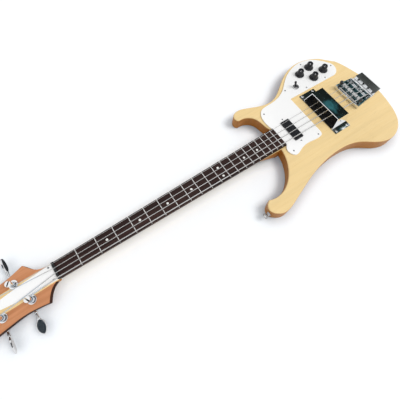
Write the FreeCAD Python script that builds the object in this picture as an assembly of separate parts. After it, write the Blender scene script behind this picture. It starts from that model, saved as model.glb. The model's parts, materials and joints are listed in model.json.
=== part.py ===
import FreeCAD, Part
import math
import os

V = FreeCAD.Vector

# Frame: X runs along the strings towards the tail, Y towards the control side, Z out of the face.
# The origin lies on the flat back, on the centre line, under the line where the strings leave the saddles.
# All sizes are millimetres.

# Strings and scale
SCALE_LENGTH = 863.6
STRING_NAMES = ["e", "a", "d", "g"]
STRING_RADII = [1.2, 0.97, 0.74, 0.5]
NUT_STRING_GAP = 10.9
BRIDGE_STRING_GAP = 18.0
BALL_RADIUS = 2.6
BALL_LENGTH = 5.0
STRING_ACTION = 0.6
BEND_RADIUS = 30.0

# Body
BODY_THICK = 33.0
CORE_WIDTH = 60.0
EDGE_ROUND = 3.0
TREBLE_CUTAWAY_END = -262.0
BASS_CUTAWAY_END = -277.0
TREBLE_CUTAWAY = [(-268, 48), (-271, 66), (-278, 83), (-292, 94.5), (-313, 98)]
BODY_OUTER = [(-313, 98), (-321, 106), (-319, 118), (-302, 127.5), (-274, 122), (-238, 108), (-205, 103),
              (-172, 115), (-122, 149), (-50, 171), (12, 152), (46, 121), (66, 72), (80, -10), (71, -74),
              (44, -134), (-14, -160.5), (-50, -150), (-90, -124), (-156, -111.5), (-232, -121),
              (-340, -158), (-386, -163), (-404, -145), (-389, -120.5)]
BASS_CUTAWAY = [(-389, -120.5), (-371, -125), (-345, -121), (-318, -105), (-297, -81), (-283, -54)]

# Neck and head
NUT_LENGTH = 5.0
NUT_WIDTH = 39.0
NUT_RISE = 10.2
BOARD_END = -260.0
BOARD_END_WIDTH = 57.0
BOARD_THICK = 7.0
NECK_DEPTH_NUT = 14.0
NECK_DEPTH_HEEL = 17.0
HEEL_START = -345.0
HEEL_END = -288.0
NECK_SIDE = 1.0
NECK_LEAN = 0.4
NECK_ROUND_SHARE = 0.92
HEEL_CORNER = 5.0
HEAD_ANGLE = 2.8
HEAD_RISE = 3.0
HEAD_THICK = 12.0
HEAD_CORE_WIDTH = 40.0
VOLUTE_LENGTH = 26.0
HEAD_LENGTH = 208.0
TREBLE_FLARE = [(12, 0), (20, 1.4), (28, 3.8), (35, 8.0), (43, 15.8), (55, 30.5)]
TREBLE_EDGE = [(72, 25.8), (85, 22.8), (97, 20.6), (112, 19.6), (132, 20.6), (150, 22.5)]
TREBLE_TIP = [(20 / 51, 20.5), (40 / 51, 10.5)]
BASS_FLARE = [(6, 0), (12, 2.6), (19, 7.4), (26, 15.2), (35.5, 31.2)]
BASS_EDGE = [(60, 27.2), (86, 25.4), (112, 27.4), (146, 31.5)]
BASS_TIP = [(26 / 55, 28), (46 / 55, 14)]
HEAD_TIP_BULGE = 7.0

# Frets and markers
FRET_COUNT = 20
FRET_WIDTH = 2.1
FRET_RISE = 1.2
TANG_WIDTH = 0.6
TANG_DEPTH = 2.0
FRET_INSET = 0.5
DOT_FRETS = [3, 5, 7, 9, 15, 17]
DOUBLE_DOT_FRET = 12
DOUBLE_DOT_GAP = 25.0
DOT_RADIUS = 2.8
DOT_DEPTH = 1.5

# Truss rod and its cover
TRUSS_RADIUS = 2.5
TRUSS_DEPTH = 5.5
TRUSS_END = -300.0
TRUSS_NUT_LENGTH = 9.0
TRUSS_NUT_RADIUS = 4.2
TRUSS_POCKET_WIDTH = 12.0
TRUSS_POCKET_LENGTH = 24.0
COVER_THICK = 2.2
COVER_LENGTH = 132.0
COVER_START_WIDTH = 38.0
COVER_SHOULDER = 56.0
COVER_SHOULDER_WIDTH = 32.0
COVER_END_WIDTH = 18.0
COVER_SCREWS = [(9, 14.5), (9, -14.5), (126, 0)]

# Tuners: distance behind the nut and distance from the centre line
TUNER_PLACES = [(62.5, -25.6), (124.5, -26), (146, 24.5), (84, 23.8)]
KEY_REST_ANGLES = [8.0, 110.0, 35.0, 97.0]
SLOT_REST_ANGLES = [27.6, 12.0, -20.0, -40.6]
POST_RADIUS = 4.4
POST_SHAFT_RADIUS = 4.0
POST_RISE = 19.0
POST_TOP_RADIUS = 6.3
POST_TOP_LENGTH = 4.0
POST_SLOT_WIDTH = 2.6
POST_SLOT_DEPTH = 7.0
BUSH_FLANGE_RADIUS = 9.6
BUSH_FLANGE_THICK = 1.6
BUSH_RADIUS = 6.5
BUSH_LENGTH = 8.0
TUNER_PLATE_THICK = 1.2
TUNER_PLATE_HALF_WIDTH = 14.5
TUNER_PLATE_FRONT = 13.0
TUNER_PLATE_BACK = 17.0
TUNER_SCREW_OFFSETS = [9.6, -4.5]
GEAR_TEETH = 20
GEAR_RADIUS = 8.0
GEAR_TOOTH = 0.9
GEAR_THICK = 4.0
WORM_RADIUS = 2.6
WORM_LENGTH = 13.0
EAR_THICK = 3.0
KEY_SHAFT_RADIUS = 2.0
KEY_REACH = 62.0
KEY_LENGTH = 35.0
KEY_HALF_WIDTH = 10.0
KEY_THICK = 4.6
KEY_OUTLINE = [(0.0, 0.32), (0.1, 0.5), (0.22, 0.8), (0.36, 0.96), (0.5, 1.0), (0.66, 0.95),
               (0.82, 0.72), (0.93, 0.42)]
KEY_STEM_LENGTH = 11.5
KEY_STEM_RADIUS = 3.4
KEY_BEAD_REACH = 47.0
KEY_BEAD_RADIUS = 3.4
KEY_BEAD_LENGTH = 3.0
WRAP_QUARTERS = 7
WRAP_GAP = 0.5
WRAP_FLOOR = 0.6

# Pickguard and its screws
GUARD_THICK = 3.0
GUARD_GAP = 1.0
GUARD_TREBLE = [(-262, 52), (-258, 76), (-246, 91), (-226, 95), (-190, 98), (-155, 113), (-120, 141),
                (-88, 158), (-48, 165.5), (-8, 154), (19, 128), (31, 106), (24, 86), (8, 77)]
GUARD_CORNER = (-155, 79)
GUARD_POINT = (-157, -44)
GUARD_BASS = [(-161, -53), (-173, -56), (-205, -53), (-236, -58.5), (-256, -63), (-265, -53)]
GUARD_SCREWS = [(-49, 158), (23, 108), (-22, 84), (-91, 85), (-149, 109), (-248, 78), (-168, -48),
                (-254, -51)]

# Control cavity under the pickguard
CAVITY_FLOOR = 6.0
CAVITY_OUTLINE = [(-138, 88), (-130, 116), (-98, 141), (-60, 154), (-22, 148), (10, 119), (12, 88)]
CAVITY_ROUND = 8.0
WIRE_HOLE_RADIUS = 4.0

# Knobs and their controls
KNOB_NAMES = ["neck_volume_knob", "neck_tone_knob", "bridge_volume_knob", "bridge_tone_knob"]
KNOB_PLACES = [(-77, 131), (-37, 137), (-50, 101), (-8, 108)]
KNOB_SKIRT_RADIUS = 13.0
KNOB_SKIRT_RISE = 4.2
KNOB_SHOULDER_RADIUS = 10.8
KNOB_CAP_RADIUS = 8.8
KNOB_CAP_TAPER = 0.8
KNOB_CAP_RISE = 11.0
KNOB_LIFT = 0.8
KNOB_HOLLOW_RADIUS = 7.5
KNOB_ROOF = 3.0
SHAFT_RADIUS = 3.0
POT_RADIUS = 12.0
POT_DEPTH = 10.0
BUSHING_RADIUS = 4.0
BUSHING_RISE = 3.2
NUT_HEX_RADIUS = 6.2
NUT_THICK = 2.2

# Selector switch
SWITCH_PLACE = (-116, 102)
SWITCH_PIVOT_RISE = 1.0
SWITCH_LEAN = 17.0
SWITCH_LEAN_HEADING = 130.0
SWITCH_BUSHING_RADIUS = 6.2
SWITCH_BORE_RADIUS = 4.6
SWITCH_BUSHING_RISE = 4.5
SWITCH_NUT_RADIUS = 8.4
SWITCH_NUT_THICK = 3.0
SWITCH_BALL_GAP = 0.3
SWITCH_PIN_RADIUS = 0.75
LEVER_RADIUS = 1.6
LEVER_RISE = 17.5
LEVER_STUB = 9.0
TIP_OVERHANG = 2.0
TIP_LENGTH = 11.0
TIP_RADIUS = 3.2
TIP_FOOT_RADIUS = 2.3
SWITCH_LEAF_THICK = 3.0
SWITCH_LEAF_GAP = 11.0
SWITCH_LEAF_WIDTH = 12.0
SWITCH_LEAF_DEPTH = 18.0
SWITCH_PLATE_THICK = 2.0

# Output jack on the rim
JACK_POINT = (33.5, 134.0)
JACK_HEADING = 44.0
JACK_SEAT_DEPTH = 3.6
JACK_PLATE_LENGTH = 40.0
JACK_PLATE_HEIGHT = 27.0
JACK_PLATE_THICK = 2.0
JACK_BORE_RADIUS = 3.2
JACK_BORE_LENGTH = 26.0
JACK_BARREL_RADIUS = 8.0
JACK_BUSH_RADIUS = 4.8
JACK_LIP = 1.0
JACK_HOLE_RADIUS = 10.0
JACK_HOLE_LENGTH = 34.0
JACK_SCREW_REACH = 16.5
JACK_SCREW_RISE = 10.0

# Neck pickup
NECK_PICKUP_X = -218.0
NECK_PICKUP_WIDTH = 24.0
NECK_PICKUP_LENGTH = 62.0
NECK_PICKUP_TOP = 7.0
NECK_PICKUP_SCREW_REACH = 38.5
PICKUP_FLOOR = 22.0
PICKUP_WALL = 1.5
PICKUP_EAR = 4.5
PICKUP_CLEARANCE = 0.5
POLE_RADIUS = 2.4
POLE_RISE = 1.0

# Bridge pickup and its raised cover
BRIDGE_PICKUP_FRONT = -125.0
BRIDGE_PICKUP_WIDTH = 35.0
BRIDGE_PICKUP_LENGTH = 104.0
BRIDGE_PICKUP_TOP = 5.0
COVER_FRONT = -128.0
COVER_BACK = -76.0
COVER_HALF_LENGTH = 72.5
COVER_SHEET = 1.2
COVER_RAIL = 5.8
COVER_RAKE_FOOT = 4.0
ARCH_FOOT = 57.0
ARCH_SHOULDER = 50.0
ARCH_RISE = 25.0
ARCH_FRONT = -112.0
COVER_SCREW_X = [-120.5, -83.0]
COVER_SCREW_Y = 67.5

# Tailpiece casting
TAIL_FRONT = -24.0
TAIL_BACK = 73.0
TAIL_FRONT_WIDTH = 88.0
TAIL_BACK_WIDTH = 68.0
TAIL_FLOOR = 3.0
TAIL_WALL = 3.0
TAIL_FRONT_RISE = 8.0
TAIL_SIDE_RISE = 10.5
COMB_X = 27.5
COMB_THICK = 4.0
COMB_RISE = 11.5
COMB_SEAT_RISE = 8.0
COMB_SLOT_DROP = 1.0
TROUGH_LENGTH = 14.0
TAIL_BLOCK_FRONT_RISE = 12.5
TAIL_BLOCK_BACK_RISE = 15.0
TAIL_SLOPE = 6.0
TAIL_SCREWS = [(23.4, 28), (23.4, 0), (23.4, -28), (38, 18), (38, -18)]

# Bridge frame, saddles and their screws
FRAME_FRONT = -14.0
FRAME_BACK = 17.0
FRAME_HALF_WIDTH = 36.0
FRAME_FLOOR = 1.5
FRAME_WALL = 2.0
FRAME_FRONT_RISE = 5.5
FRAME_BACK_RISE = 4.5
SADDLE_RISE = 12.0
SADDLE_WIDTH = 15.0
SADDLE_FRONT = -5.0
SADDLE_BACK = 6.0
SADDLE_SHOULDER = 3.6
SADDLE_RIDGE = 1.0
STRING_SEAT_GAP = 0.3
SLIDE_GAP = 0.1
SADDLE_SCREW_RADIUS = 1.2
SADDLE_SCREW_HEAD = 2.0
SADDLE_SCREW_HEAD_LENGTH = 2.0
SADDLE_SCREW_RISE = 2.4

# String mute in front of the saddles
MUTE_FRONT = -20.2
MUTE_BACK = -15.0
MUTE_HALF_LENGTH = 39.0
MUTE_LIFT = 0.3
MUTE_BAR_THICK = 2.2
FOAM_HALF_LENGTH = 32.0
FOAM_THICK = 3.0
FOAM_CROWN = 0.5
THUMB_REACH = 36.0
THUMB_STEM_RADIUS = 1.5
THUMB_HEAD_RADIUS = 4.2
THUMB_HEAD_LENGTH = 5.0
THUMB_RISE = 22.0

# Strap buttons
HORN_BUTTON = (-404.5, -145.0)
TAIL_BUTTON = (79.7, -8.0)
BUTTON_RADIUS = 7.0
BUTTON_WAIST = 3.6
BUTTON_LENGTH = 12.0
BUTTON_FLANGE = 2.4
BUTTON_FOOT_RADIUS = 6.0
BUTTON_FOOT = 3.6
BUTTON_FLARE = 3.6

# Fasteners and clearances
SMALL_HEAD_RADIUS = 2.4
SMALL_SHANK_RADIUS = 1.2
SMALL_HEAD_RISE = 1.2
SMALL_LENGTH = 12.0
SHORT_LENGTH = 7.0
LARGE_HEAD_RADIUS = 3.2
LARGE_SHANK_RADIUS = 1.7
LARGE_HEAD_RISE = 1.6
LARGE_LENGTH = 20.0
HEAD_DOME = 0.6
SLOT_WIDTH = 0.6
SLOT_DEPTH = 0.7
HOLE_CLEARANCE = 0.1
RUNNING_CLEARANCE = 0.05
PART_CLEARANCE = 0.3

# Worked-out places
TOP = BODY_THICK
CORE_HALF = CORE_WIDTH / 2
NUT_BACK = -SCALE_LENGTH - NUT_LENGTH
BOARD_TOP = TOP + BOARD_THICK
GUARD_TOP = TOP + GUARD_THICK
FRAME_TOP = TOP + TAIL_FLOOR + FRAME_FLOOR
HEAD_FACE = TOP + HEAD_RISE
HEAD_PLACE = FreeCAD.Placement(V(NUT_BACK, 0, HEAD_FACE), FreeCAD.Rotation(V(0, 1, 0), -HEAD_ANGLE))
HEAD_CORE_HALF = HEAD_CORE_WIDTH / 2
PLATE_TOP = -HEAD_THICK
WORM_DROP = PLATE_TOP - TUNER_PLATE_THICK - PART_CLEARANCE - WORM_RADIUS
GEAR_TOP = WORM_DROP + GEAR_THICK / 2
WORM_OFFSET = GEAR_RADIUS + WORM_RADIUS + PART_CLEARANCE
SWITCH_PIVOT = TOP + SWITCH_PIVOT_RISE
SADDLE_SCREW_Z = FRAME_TOP + SADDLE_SCREW_RISE
MUTE_BAR_Z = TOP + TAIL_FLOOR + MUTE_LIFT
MUTE_TOP = MUTE_BAR_Z + MUTE_BAR_THICK


# Small shape helpers
def block(x0, x1, y0, y1, z0, z1):
    return Part.makeBox(x1 - x0, y1 - y0, z1 - z0, V(x0, y0, z0))


def rod(x, y, z0, z1, radius):
    return Part.makeCylinder(radius, z1 - z0, V(x, y, z0))


def polygon_face(points):
    return Part.Face(Part.makePolygon(points + points[:1]))


def prism(points, z0, z1):
    return polygon_face([V(x, y, z0) for x, y in points]).extrude(V(0, 0, z1 - z0))


def side_prism(points, y0, y1):
    """A profile drawn in X and Z, extruded across the part."""
    return polygon_face([V(x, y0, z) for x, z in points]).extrude(V(0, y1 - y0, 0))


def spline(points, z):
    curve = Part.BSplineCurve()
    curve.interpolate([V(x, y, z) for x, y in points])
    return curve.toShape()


def line(first, last, z):
    return Part.makeLine(V(first[0], first[1], z), V(last[0], last[1], z))


def solid_of(edges, rise):
    wire = Part.Wire(Part.__sortEdges__(edges))
    return Part.Face(wire).extrude(V(0, 0, rise))


def hexagon(x, y, z0, z1, radius):
    corners = [math.radians(60 * i) for i in range(6)]
    return prism([(x + radius * math.cos(a), y + radius * math.sin(a)) for a in corners], z0, z1)


def group(shapes):
    return Part.makeCompound(shapes)


def placed(shape, placement):
    moved = shape.copy()
    moved.Placement = placement.multiply(moved.Placement)
    return moved


def turned(shape, centre, axis, degrees):
    moved = shape.copy()
    moved.rotate(centre, axis, degrees)
    return moved


def unit(vector):
    result = V(vector)
    result.normalize()
    return result


def board_half_width(x):
    share = (x + SCALE_LENGTH) / (BOARD_END + SCALE_LENGTH)
    return (NUT_WIDTH + (BOARD_END_WIDTH - NUT_WIDTH) * share) / 2


def string_y(index, gap):
    return (index - (len(STRING_NAMES) - 1) / 2) * gap


def string_y_at(index, x):
    share = (x + SCALE_LENGTH) / SCALE_LENGTH
    nut_y = string_y(index, NUT_STRING_GAP)
    return nut_y + (string_y(index, BRIDGE_STRING_GAP) - nut_y) * share


# Fasteners
def screw(head_radius, shank_radius, head_rise, length):
    """A domed screw with a crossed drive, head on the plane Z = 0 and shank below it."""
    head = Part.makeCone(head_radius, head_radius * HEAD_DOME, head_rise)
    shank = Part.makeCylinder(shank_radius, length, V(0, 0, -length))
    half = SLOT_WIDTH / 2
    first = block(-head_radius, head_radius, -half, half, head_rise - SLOT_DEPTH, head_rise)
    second = turned(first, V(0, 0, 0), V(0, 0, 1), 90)
    return head.fuse(shank).cut([first, second])


def small_screw(length):
    return screw(SMALL_HEAD_RADIUS, SMALL_SHANK_RADIUS, SMALL_HEAD_RISE, length)


def large_screw(length):
    return screw(LARGE_HEAD_RADIUS, LARGE_SHANK_RADIUS, LARGE_HEAD_RISE, length)


def seat(x, y, z, axis=V(0, 0, 1)):
    """The placement that stands a fastener at a point with its head facing along an axis."""
    return FreeCAD.Placement(V(x, y, z), FreeCAD.Rotation(V(0, 0, 1), axis))


def pilot(length, radius):
    depth = length + HOLE_CLEARANCE
    return Part.makeCylinder(radius + HOLE_CLEARANCE, depth, V(0, 0, -depth))


def tuner_screw_seats():
    reach = TUNER_PLATE_HALF_WIDTH - SMALL_HEAD_RADIUS
    spots = []
    for distance, y in TUNER_PLACES:
        for dx in TUNER_SCREW_OFFSETS:
            for side in (-1, 1):
                spot = seat(-distance + dx, y + side * reach, PLATE_TOP - TUNER_PLATE_THICK, V(0, 0, -1))
                spots.append(HEAD_PLACE.multiply(spot))
    return spots


def cover_screw_seats():
    return [HEAD_PLACE.multiply(seat(-distance, y, COVER_THICK)) for distance, y in COVER_SCREWS]


def guard_screw_seats():
    return [seat(x, y, GUARD_TOP) for x, y in GUARD_SCREWS]


def jack_place():
    turn = FreeCAD.Rotation(V(0, 0, 1), JACK_HEADING)
    point = V(*JACK_POINT, TOP / 2)
    return FreeCAD.Placement(point - turn.multVec(V(JACK_SEAT_DEPTH, 0, 0)), turn)


def jack_screw_seats():
    return [jack_place().multiply(seat(JACK_PLATE_THICK, side * JACK_SCREW_REACH, rise, V(1, 0, 0)))
            for side in (-1, 1) for rise in (-JACK_SCREW_RISE, JACK_SCREW_RISE)]


def arch_screw_seats():
    return [seat(x, side * COVER_SCREW_Y, TOP + COVER_SHEET) for x in COVER_SCREW_X for side in (-1, 1)]


def tail_screw_seats():
    return [seat(x, y, TOP + TAIL_FLOOR) for x, y in TAIL_SCREWS]


def button_seats():
    return [seat(HORN_BUTTON[0], HORN_BUTTON[1], TOP / 2, V(-1, 0, 0)),
            seat(TAIL_BUTTON[0], TAIL_BUTTON[1], TOP / 2, V(1, 0, 0))]


def small_screws():
    long_seats = guard_screw_seats()
    short_seats = cover_screw_seats() + tuner_screw_seats() + jack_screw_seats()
    return group([placed(small_screw(SMALL_LENGTH), spot) for spot in long_seats]
                 + [placed(small_screw(SHORT_LENGTH), spot) for spot in short_seats])


def large_screws():
    flat_seats = arch_screw_seats() + tail_screw_seats()
    outer = V(0, 0, BUTTON_LENGTH)
    strap_seats = [spot.multiply(FreeCAD.Placement(outer, FreeCAD.Rotation())) for spot in button_seats()]
    return group([placed(large_screw(LARGE_LENGTH), spot) for spot in flat_seats]
                 + [placed(large_screw(LARGE_LENGTH + BUTTON_LENGTH), spot) for spot in strap_seats])


def wood_holes():
    """Every pilot hole that a screw needs in the wood, and the flats under the strap buttons."""
    small = guard_screw_seats() + cover_screw_seats() + tuner_screw_seats() + jack_screw_seats()
    large = arch_screw_seats() + tail_screw_seats() + button_seats()
    return ([placed(pilot(SMALL_LENGTH, SMALL_SHANK_RADIUS), spot) for spot in small]
            + [placed(pilot(LARGE_LENGTH, LARGE_SHANK_RADIUS), spot) for spot in large]
            + [placed(Part.makeCylinder(BUTTON_RADIUS, BUTTON_LENGTH), spot) for spot in button_seats()])


# Body and neck
def body_blank():
    treble = spline([(TREBLE_CUTAWAY_END, CORE_HALF)] + TREBLE_CUTAWAY, 0)
    outer = spline(BODY_OUTER, 0)
    bass = spline(BASS_CUTAWAY + [(BASS_CUTAWAY_END, -CORE_HALF)], 0)
    mouth = line((BASS_CUTAWAY_END, -CORE_HALF), (TREBLE_CUTAWAY_END, CORE_HALF), 0)
    blank = solid_of([treble, outer, bass, mouth], TOP)
    rim = [edge for edge in blank.Edges if edge.Curve.TypeId == "Part::GeomBSplineCurve"
           and edge.BoundBox.ZLength < EDGE_ROUND]
    return blank.makeFillet(EDGE_ROUND, rim)


def lengthwise_slice(blank, y0, y1):
    """The part of the body blank between two lines along the strings."""
    reach = blank.BoundBox
    return blank.common(block(reach.XMin, reach.XMax, y0, y1, reach.ZMin, reach.ZMax))


def pickup_pockets():
    half = NECK_PICKUP_WIDTH / 2 + PICKUP_CLEARANCE
    reach = NECK_PICKUP_SCREW_REACH + PICKUP_EAR + PICKUP_CLEARANCE
    front = BRIDGE_PICKUP_FRONT - PICKUP_CLEARANCE
    back = BRIDGE_PICKUP_FRONT + BRIDGE_PICKUP_WIDTH + PICKUP_CLEARANCE
    length = BRIDGE_PICKUP_LENGTH / 2 + PICKUP_CLEARANCE
    return [block(NECK_PICKUP_X - half, NECK_PICKUP_X + half, -reach, reach, PICKUP_FLOOR, TOP),
            block(front, back, -length, length, PICKUP_FLOOR, TOP)]


def control_cavity():
    cavity = prism(CAVITY_OUTLINE, CAVITY_FLOOR, TOP)
    upright = [edge for edge in cavity.Edges if edge.BoundBox.ZLength > TOP - CAVITY_FLOOR - EDGE_ROUND]
    return cavity.makeFillet(CAVITY_ROUND, upright)


def wire_holes():
    """Drilled ways for the pickup leads into the control cavity."""
    level = PICKUP_FLOOR + WIRE_HOLE_RADIUS
    inside = V(SWITCH_PLACE[0], SWITCH_PLACE[1], level)
    starts = [V(NECK_PICKUP_X, NECK_PICKUP_SCREW_REACH, level),
              V(BRIDGE_PICKUP_FRONT + BRIDGE_PICKUP_WIDTH / 2, BRIDGE_PICKUP_LENGTH / 2, level)]
    return [Part.makeCylinder(WIRE_HOLE_RADIUS, (inside - start).Length, start, inside - start)
            for start in starts]


def jack_cuts():
    place = jack_place()
    half = JACK_PLATE_LENGTH / 2 + PICKUP_CLEARANCE
    seat_cut = block(0, half, -half, half, -TOP, TOP)
    hole = Part.makeCylinder(JACK_HOLE_RADIUS, JACK_HOLE_LENGTH, V(0, 0, 0), V(-1, 0, 0))
    return [placed(seat_cut, place), placed(hole, place)]


def body_wing_treble(blank):
    wing = lengthwise_slice(blank, CORE_HALF, blank.BoundBox.YMax)
    cuts = pickup_pockets() + [control_cavity()] + wire_holes() + jack_cuts() + wood_holes()
    return wing.cut(cuts)


def body_wing_bass(blank):
    wing = lengthwise_slice(blank, blank.BoundBox.YMin, -CORE_HALF)
    return wing.cut(pickup_pockets() + wood_holes())


def neck_section(x, half, top, depth, side, lean, corner):
    """A flat-topped neck section: sides that lean in a little, then a round on to the flat back."""
    low = top - depth
    rise = depth - side
    radius = (corner ** 2 + rise ** 2) / (2 * rise)
    sweep = math.atan2(corner, radius - rise) / 2
    flat = half - lean - corner
    bend, lift = flat + radius * math.sin(sweep), low + radius * (1 - math.cos(sweep))
    a, b = V(x, half, top), V(x, half - lean, top - side)
    c, d = V(x, flat, low), V(x, -flat, low)
    e, f = V(x, lean - half, top - side), V(x, -half, top)
    right_arc = Part.Arc(b, V(x, bend, lift), c).toShape()
    left_arc = Part.Arc(d, V(x, -bend, lift), e).toShape()
    return Part.Wire([Part.makeLine(a, b), right_arc, Part.makeLine(c, d), left_arc,
                      Part.makeLine(e, f), Part.makeLine(f, a)])


def head_core_outline():
    """The straight centre strip of the head, ending in a shallow bulge."""
    tip = -HEAD_LENGTH
    side = HEAD_CORE_HALF
    shoulder = tip + HEAD_TIP_BULGE
    low = -HEAD_THICK
    bulge = Part.Arc(V(shoulder, side, low), V(tip, 0, low), V(shoulder, -side, low))
    return [line((0, -side), (0, side), low), line((0, side), (shoulder, side), low),
            bulge.toShape(), line((shoulder, -side), (0, -side), low)]


def tuner_holes():
    radius = BUSH_RADIUS + HOLE_CLEARANCE
    return [placed(rod(-distance, y, -HEAD_THICK, 0, radius), HEAD_PLACE) for distance, y in TUNER_PLACES]


def truss_cuts():
    level = TOP - TRUSS_DEPTH
    mouth = V(NUT_BACK, 0, level)
    bore = Part.makeCylinder(TRUSS_RADIUS + HOLE_CLEARANCE, TRUSS_END - NUT_BACK, mouth, V(1, 0, 0))
    half = TRUSS_POCKET_WIDTH / 2
    floor = level - TRUSS_NUT_RADIUS - PART_CLEARANCE
    pocket = block(NUT_BACK - TRUSS_POCKET_LENGTH, NUT_BACK, -half, half, floor, HEAD_FACE)
    return [bore, pocket]


def neck_core(blank):
    core_body = lengthwise_slice(blank, -CORE_HALF, CORE_HALF)
    body = core_body.cut(block(HEEL_START, NECK_PICKUP_X, -CORE_HALF, CORE_HALF, 0, TOP))
    front = block(HEEL_END, NECK_PICKUP_X, -CORE_HALF, CORE_HALF, 0, TOP)
    nut_half = NUT_WIDTH / 2
    volute_top = HEAD_FACE - VOLUTE_LENGTH * math.tan(math.radians(HEAD_ANGLE))
    heel_half = board_half_width(HEEL_START)
    nut_round, heel_round = NECK_ROUND_SHARE * nut_half, NECK_ROUND_SHARE * heel_half
    head_side, heel_side = HEAD_THICK - HEEL_CORNER, TOP - HEEL_CORNER
    volute_end = NUT_BACK - VOLUTE_LENGTH
    sections = [neck_section(volute_end, nut_half, volute_top, HEAD_THICK, head_side, 0, HEEL_CORNER),
                neck_section(NUT_BACK, nut_half, TOP, NECK_DEPTH_NUT, NECK_SIDE, NECK_LEAN, nut_round),
                neck_section(HEEL_START, heel_half, TOP, NECK_DEPTH_HEEL, NECK_SIDE, NECK_LEAN, heel_round),
                neck_section(HEEL_END, CORE_HALF, TOP, TOP, heel_side, 0, HEEL_CORNER)]
    lengths = [Part.makeLoft(list(pair), True, True) for pair in zip(sections, sections[1:])]
    head = placed(solid_of(head_core_outline(), HEAD_THICK), HEAD_PLACE)
    nut_seat = block(NUT_BACK, -SCALE_LENGTH, -CORE_HALF, CORE_HALF, TOP, TOP + NUT_RISE)
    core = body.fuse([front, head] + lengths).removeSplitter()
    return core.cut(pickup_pockets() + tuner_holes() + truss_cuts() + wood_holes() + [nut_seat])


def head_wing(flare, edge, tip, side):
    """A glued-on head wing. Its outline is given as distance behind the nut and reach past the
    centre strip, and its tip as shares of the way from the edge's last point to the head's end."""
    end_distance = HEAD_LENGTH - HEAD_TIP_BULGE
    edge_distance = edge[-1][0]
    tip = [(edge_distance + share * (end_distance - edge_distance), reach) for share, reach in tip]
    flare, edge, tip = [[(-distance, side * (HEAD_CORE_HALF + reach)) for distance, reach in run]
                        for run in (flare, edge, tip)]
    end = (-end_distance, side * HEAD_CORE_HALF)
    low = -HEAD_THICK
    edges = [spline(flare, low), spline(flare[-1:] + edge, low), spline(edge[-1:] + tip + [end], low),
             line(end, flare[0], low)]
    wing = placed(solid_of(edges, HEAD_THICK), HEAD_PLACE)
    return wing.cut(tuner_holes() + wood_holes())


# Fretboard, frets, markers and nut
def fret_x(number):
    return -SCALE_LENGTH * 2 ** (-number / 12)


def fret_places():
    return [fret_x(number) for number in range(1, FRET_COUNT + 1)]


def dot_places():
    places = []
    for number in DOT_FRETS + [DOUBLE_DOT_FRET]:
        middle = (fret_x(number) + fret_x(number - 1)) / 2
        offsets = [-DOUBLE_DOT_GAP / 2, DOUBLE_DOT_GAP / 2] if number == DOUBLE_DOT_FRET else [0]
        places += [(middle, offset) for offset in offsets]
    return places


def position_dots():
    return group([rod(x, y, BOARD_TOP - DOT_DEPTH, BOARD_TOP, DOT_RADIUS) for x, y in dot_places()])


def fretboard():
    nut_half = NUT_WIDTH / 2
    end_half = BOARD_END_WIDTH / 2
    board = prism([(-SCALE_LENGTH, -nut_half), (BOARD_END, -end_half), (BOARD_END, end_half),
                   (-SCALE_LENGTH, nut_half)], TOP, BOARD_TOP)
    thin, low = TANG_WIDTH / 2, BOARD_TOP - TANG_DEPTH
    slots = [block(x - thin, x + thin, -end_half, end_half, low, BOARD_TOP) for x in fret_places()]
    pockets = [rod(x, y, BOARD_TOP - DOT_DEPTH, BOARD_TOP, DOT_RADIUS) for x, y in dot_places()]
    return board.cut(slots + pockets)


def fret(x):
    half = board_half_width(x) - FRET_INSET
    wide, thin = FRET_WIDTH / 2, TANG_WIDTH / 2
    top, low = BOARD_TOP, BOARD_TOP - TANG_DEPTH
    outline = [(x + wide, top), (x + thin, top), (x + thin, low), (x - thin, low), (x - thin, top),
               (x - wide, top)]
    foot = Part.makePolygon([V(px, -half, pz) for px, pz in outline])
    crown = Part.Arc(V(x - wide, -half, top), V(x, -half, top + FRET_RISE), V(x + wide, -half, top)).toShape()
    return Part.Face(Part.Wire([crown] + foot.Edges)).extrude(V(0, 2 * half, 0))


def frets():
    return group([fret(x) for x in fret_places()])


def nut():
    half = NUT_WIDTH / 2
    body = block(NUT_BACK, -SCALE_LENGTH, -half, half, TOP, TOP + NUT_RISE)
    low = string_floor(-SCALE_LENGTH) - PART_CLEARANCE
    slots = []
    for index, radius in enumerate(STRING_RADII):
        y = string_y(index, NUT_STRING_GAP)
        wide = radius + PART_CLEARANCE
        slots.append(block(NUT_BACK, -SCALE_LENGTH, y - wide, y + wide, low, TOP + NUT_RISE))
    return body.cut(slots)


# Truss rod
def truss_rod():
    level = TOP - TRUSS_DEPTH
    start = NUT_BACK - TRUSS_NUT_LENGTH - PART_CLEARANCE
    return Part.makeCylinder(TRUSS_RADIUS, TRUSS_END - start, V(start, 0, level), V(1, 0, 0))


def truss_rod_nut():
    level = TOP - TRUSS_DEPTH
    body = hexagon(0, 0, 0, TRUSS_NUT_LENGTH, TRUSS_NUT_RADIUS)
    body = body.cut(Part.makeCylinder(TRUSS_RADIUS + RUNNING_CLEARANCE, TRUSS_NUT_LENGTH))
    return placed(body, seat(NUT_BACK - TRUSS_NUT_LENGTH - PART_CLEARANCE, 0, level, V(1, 0, 0)))


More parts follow.
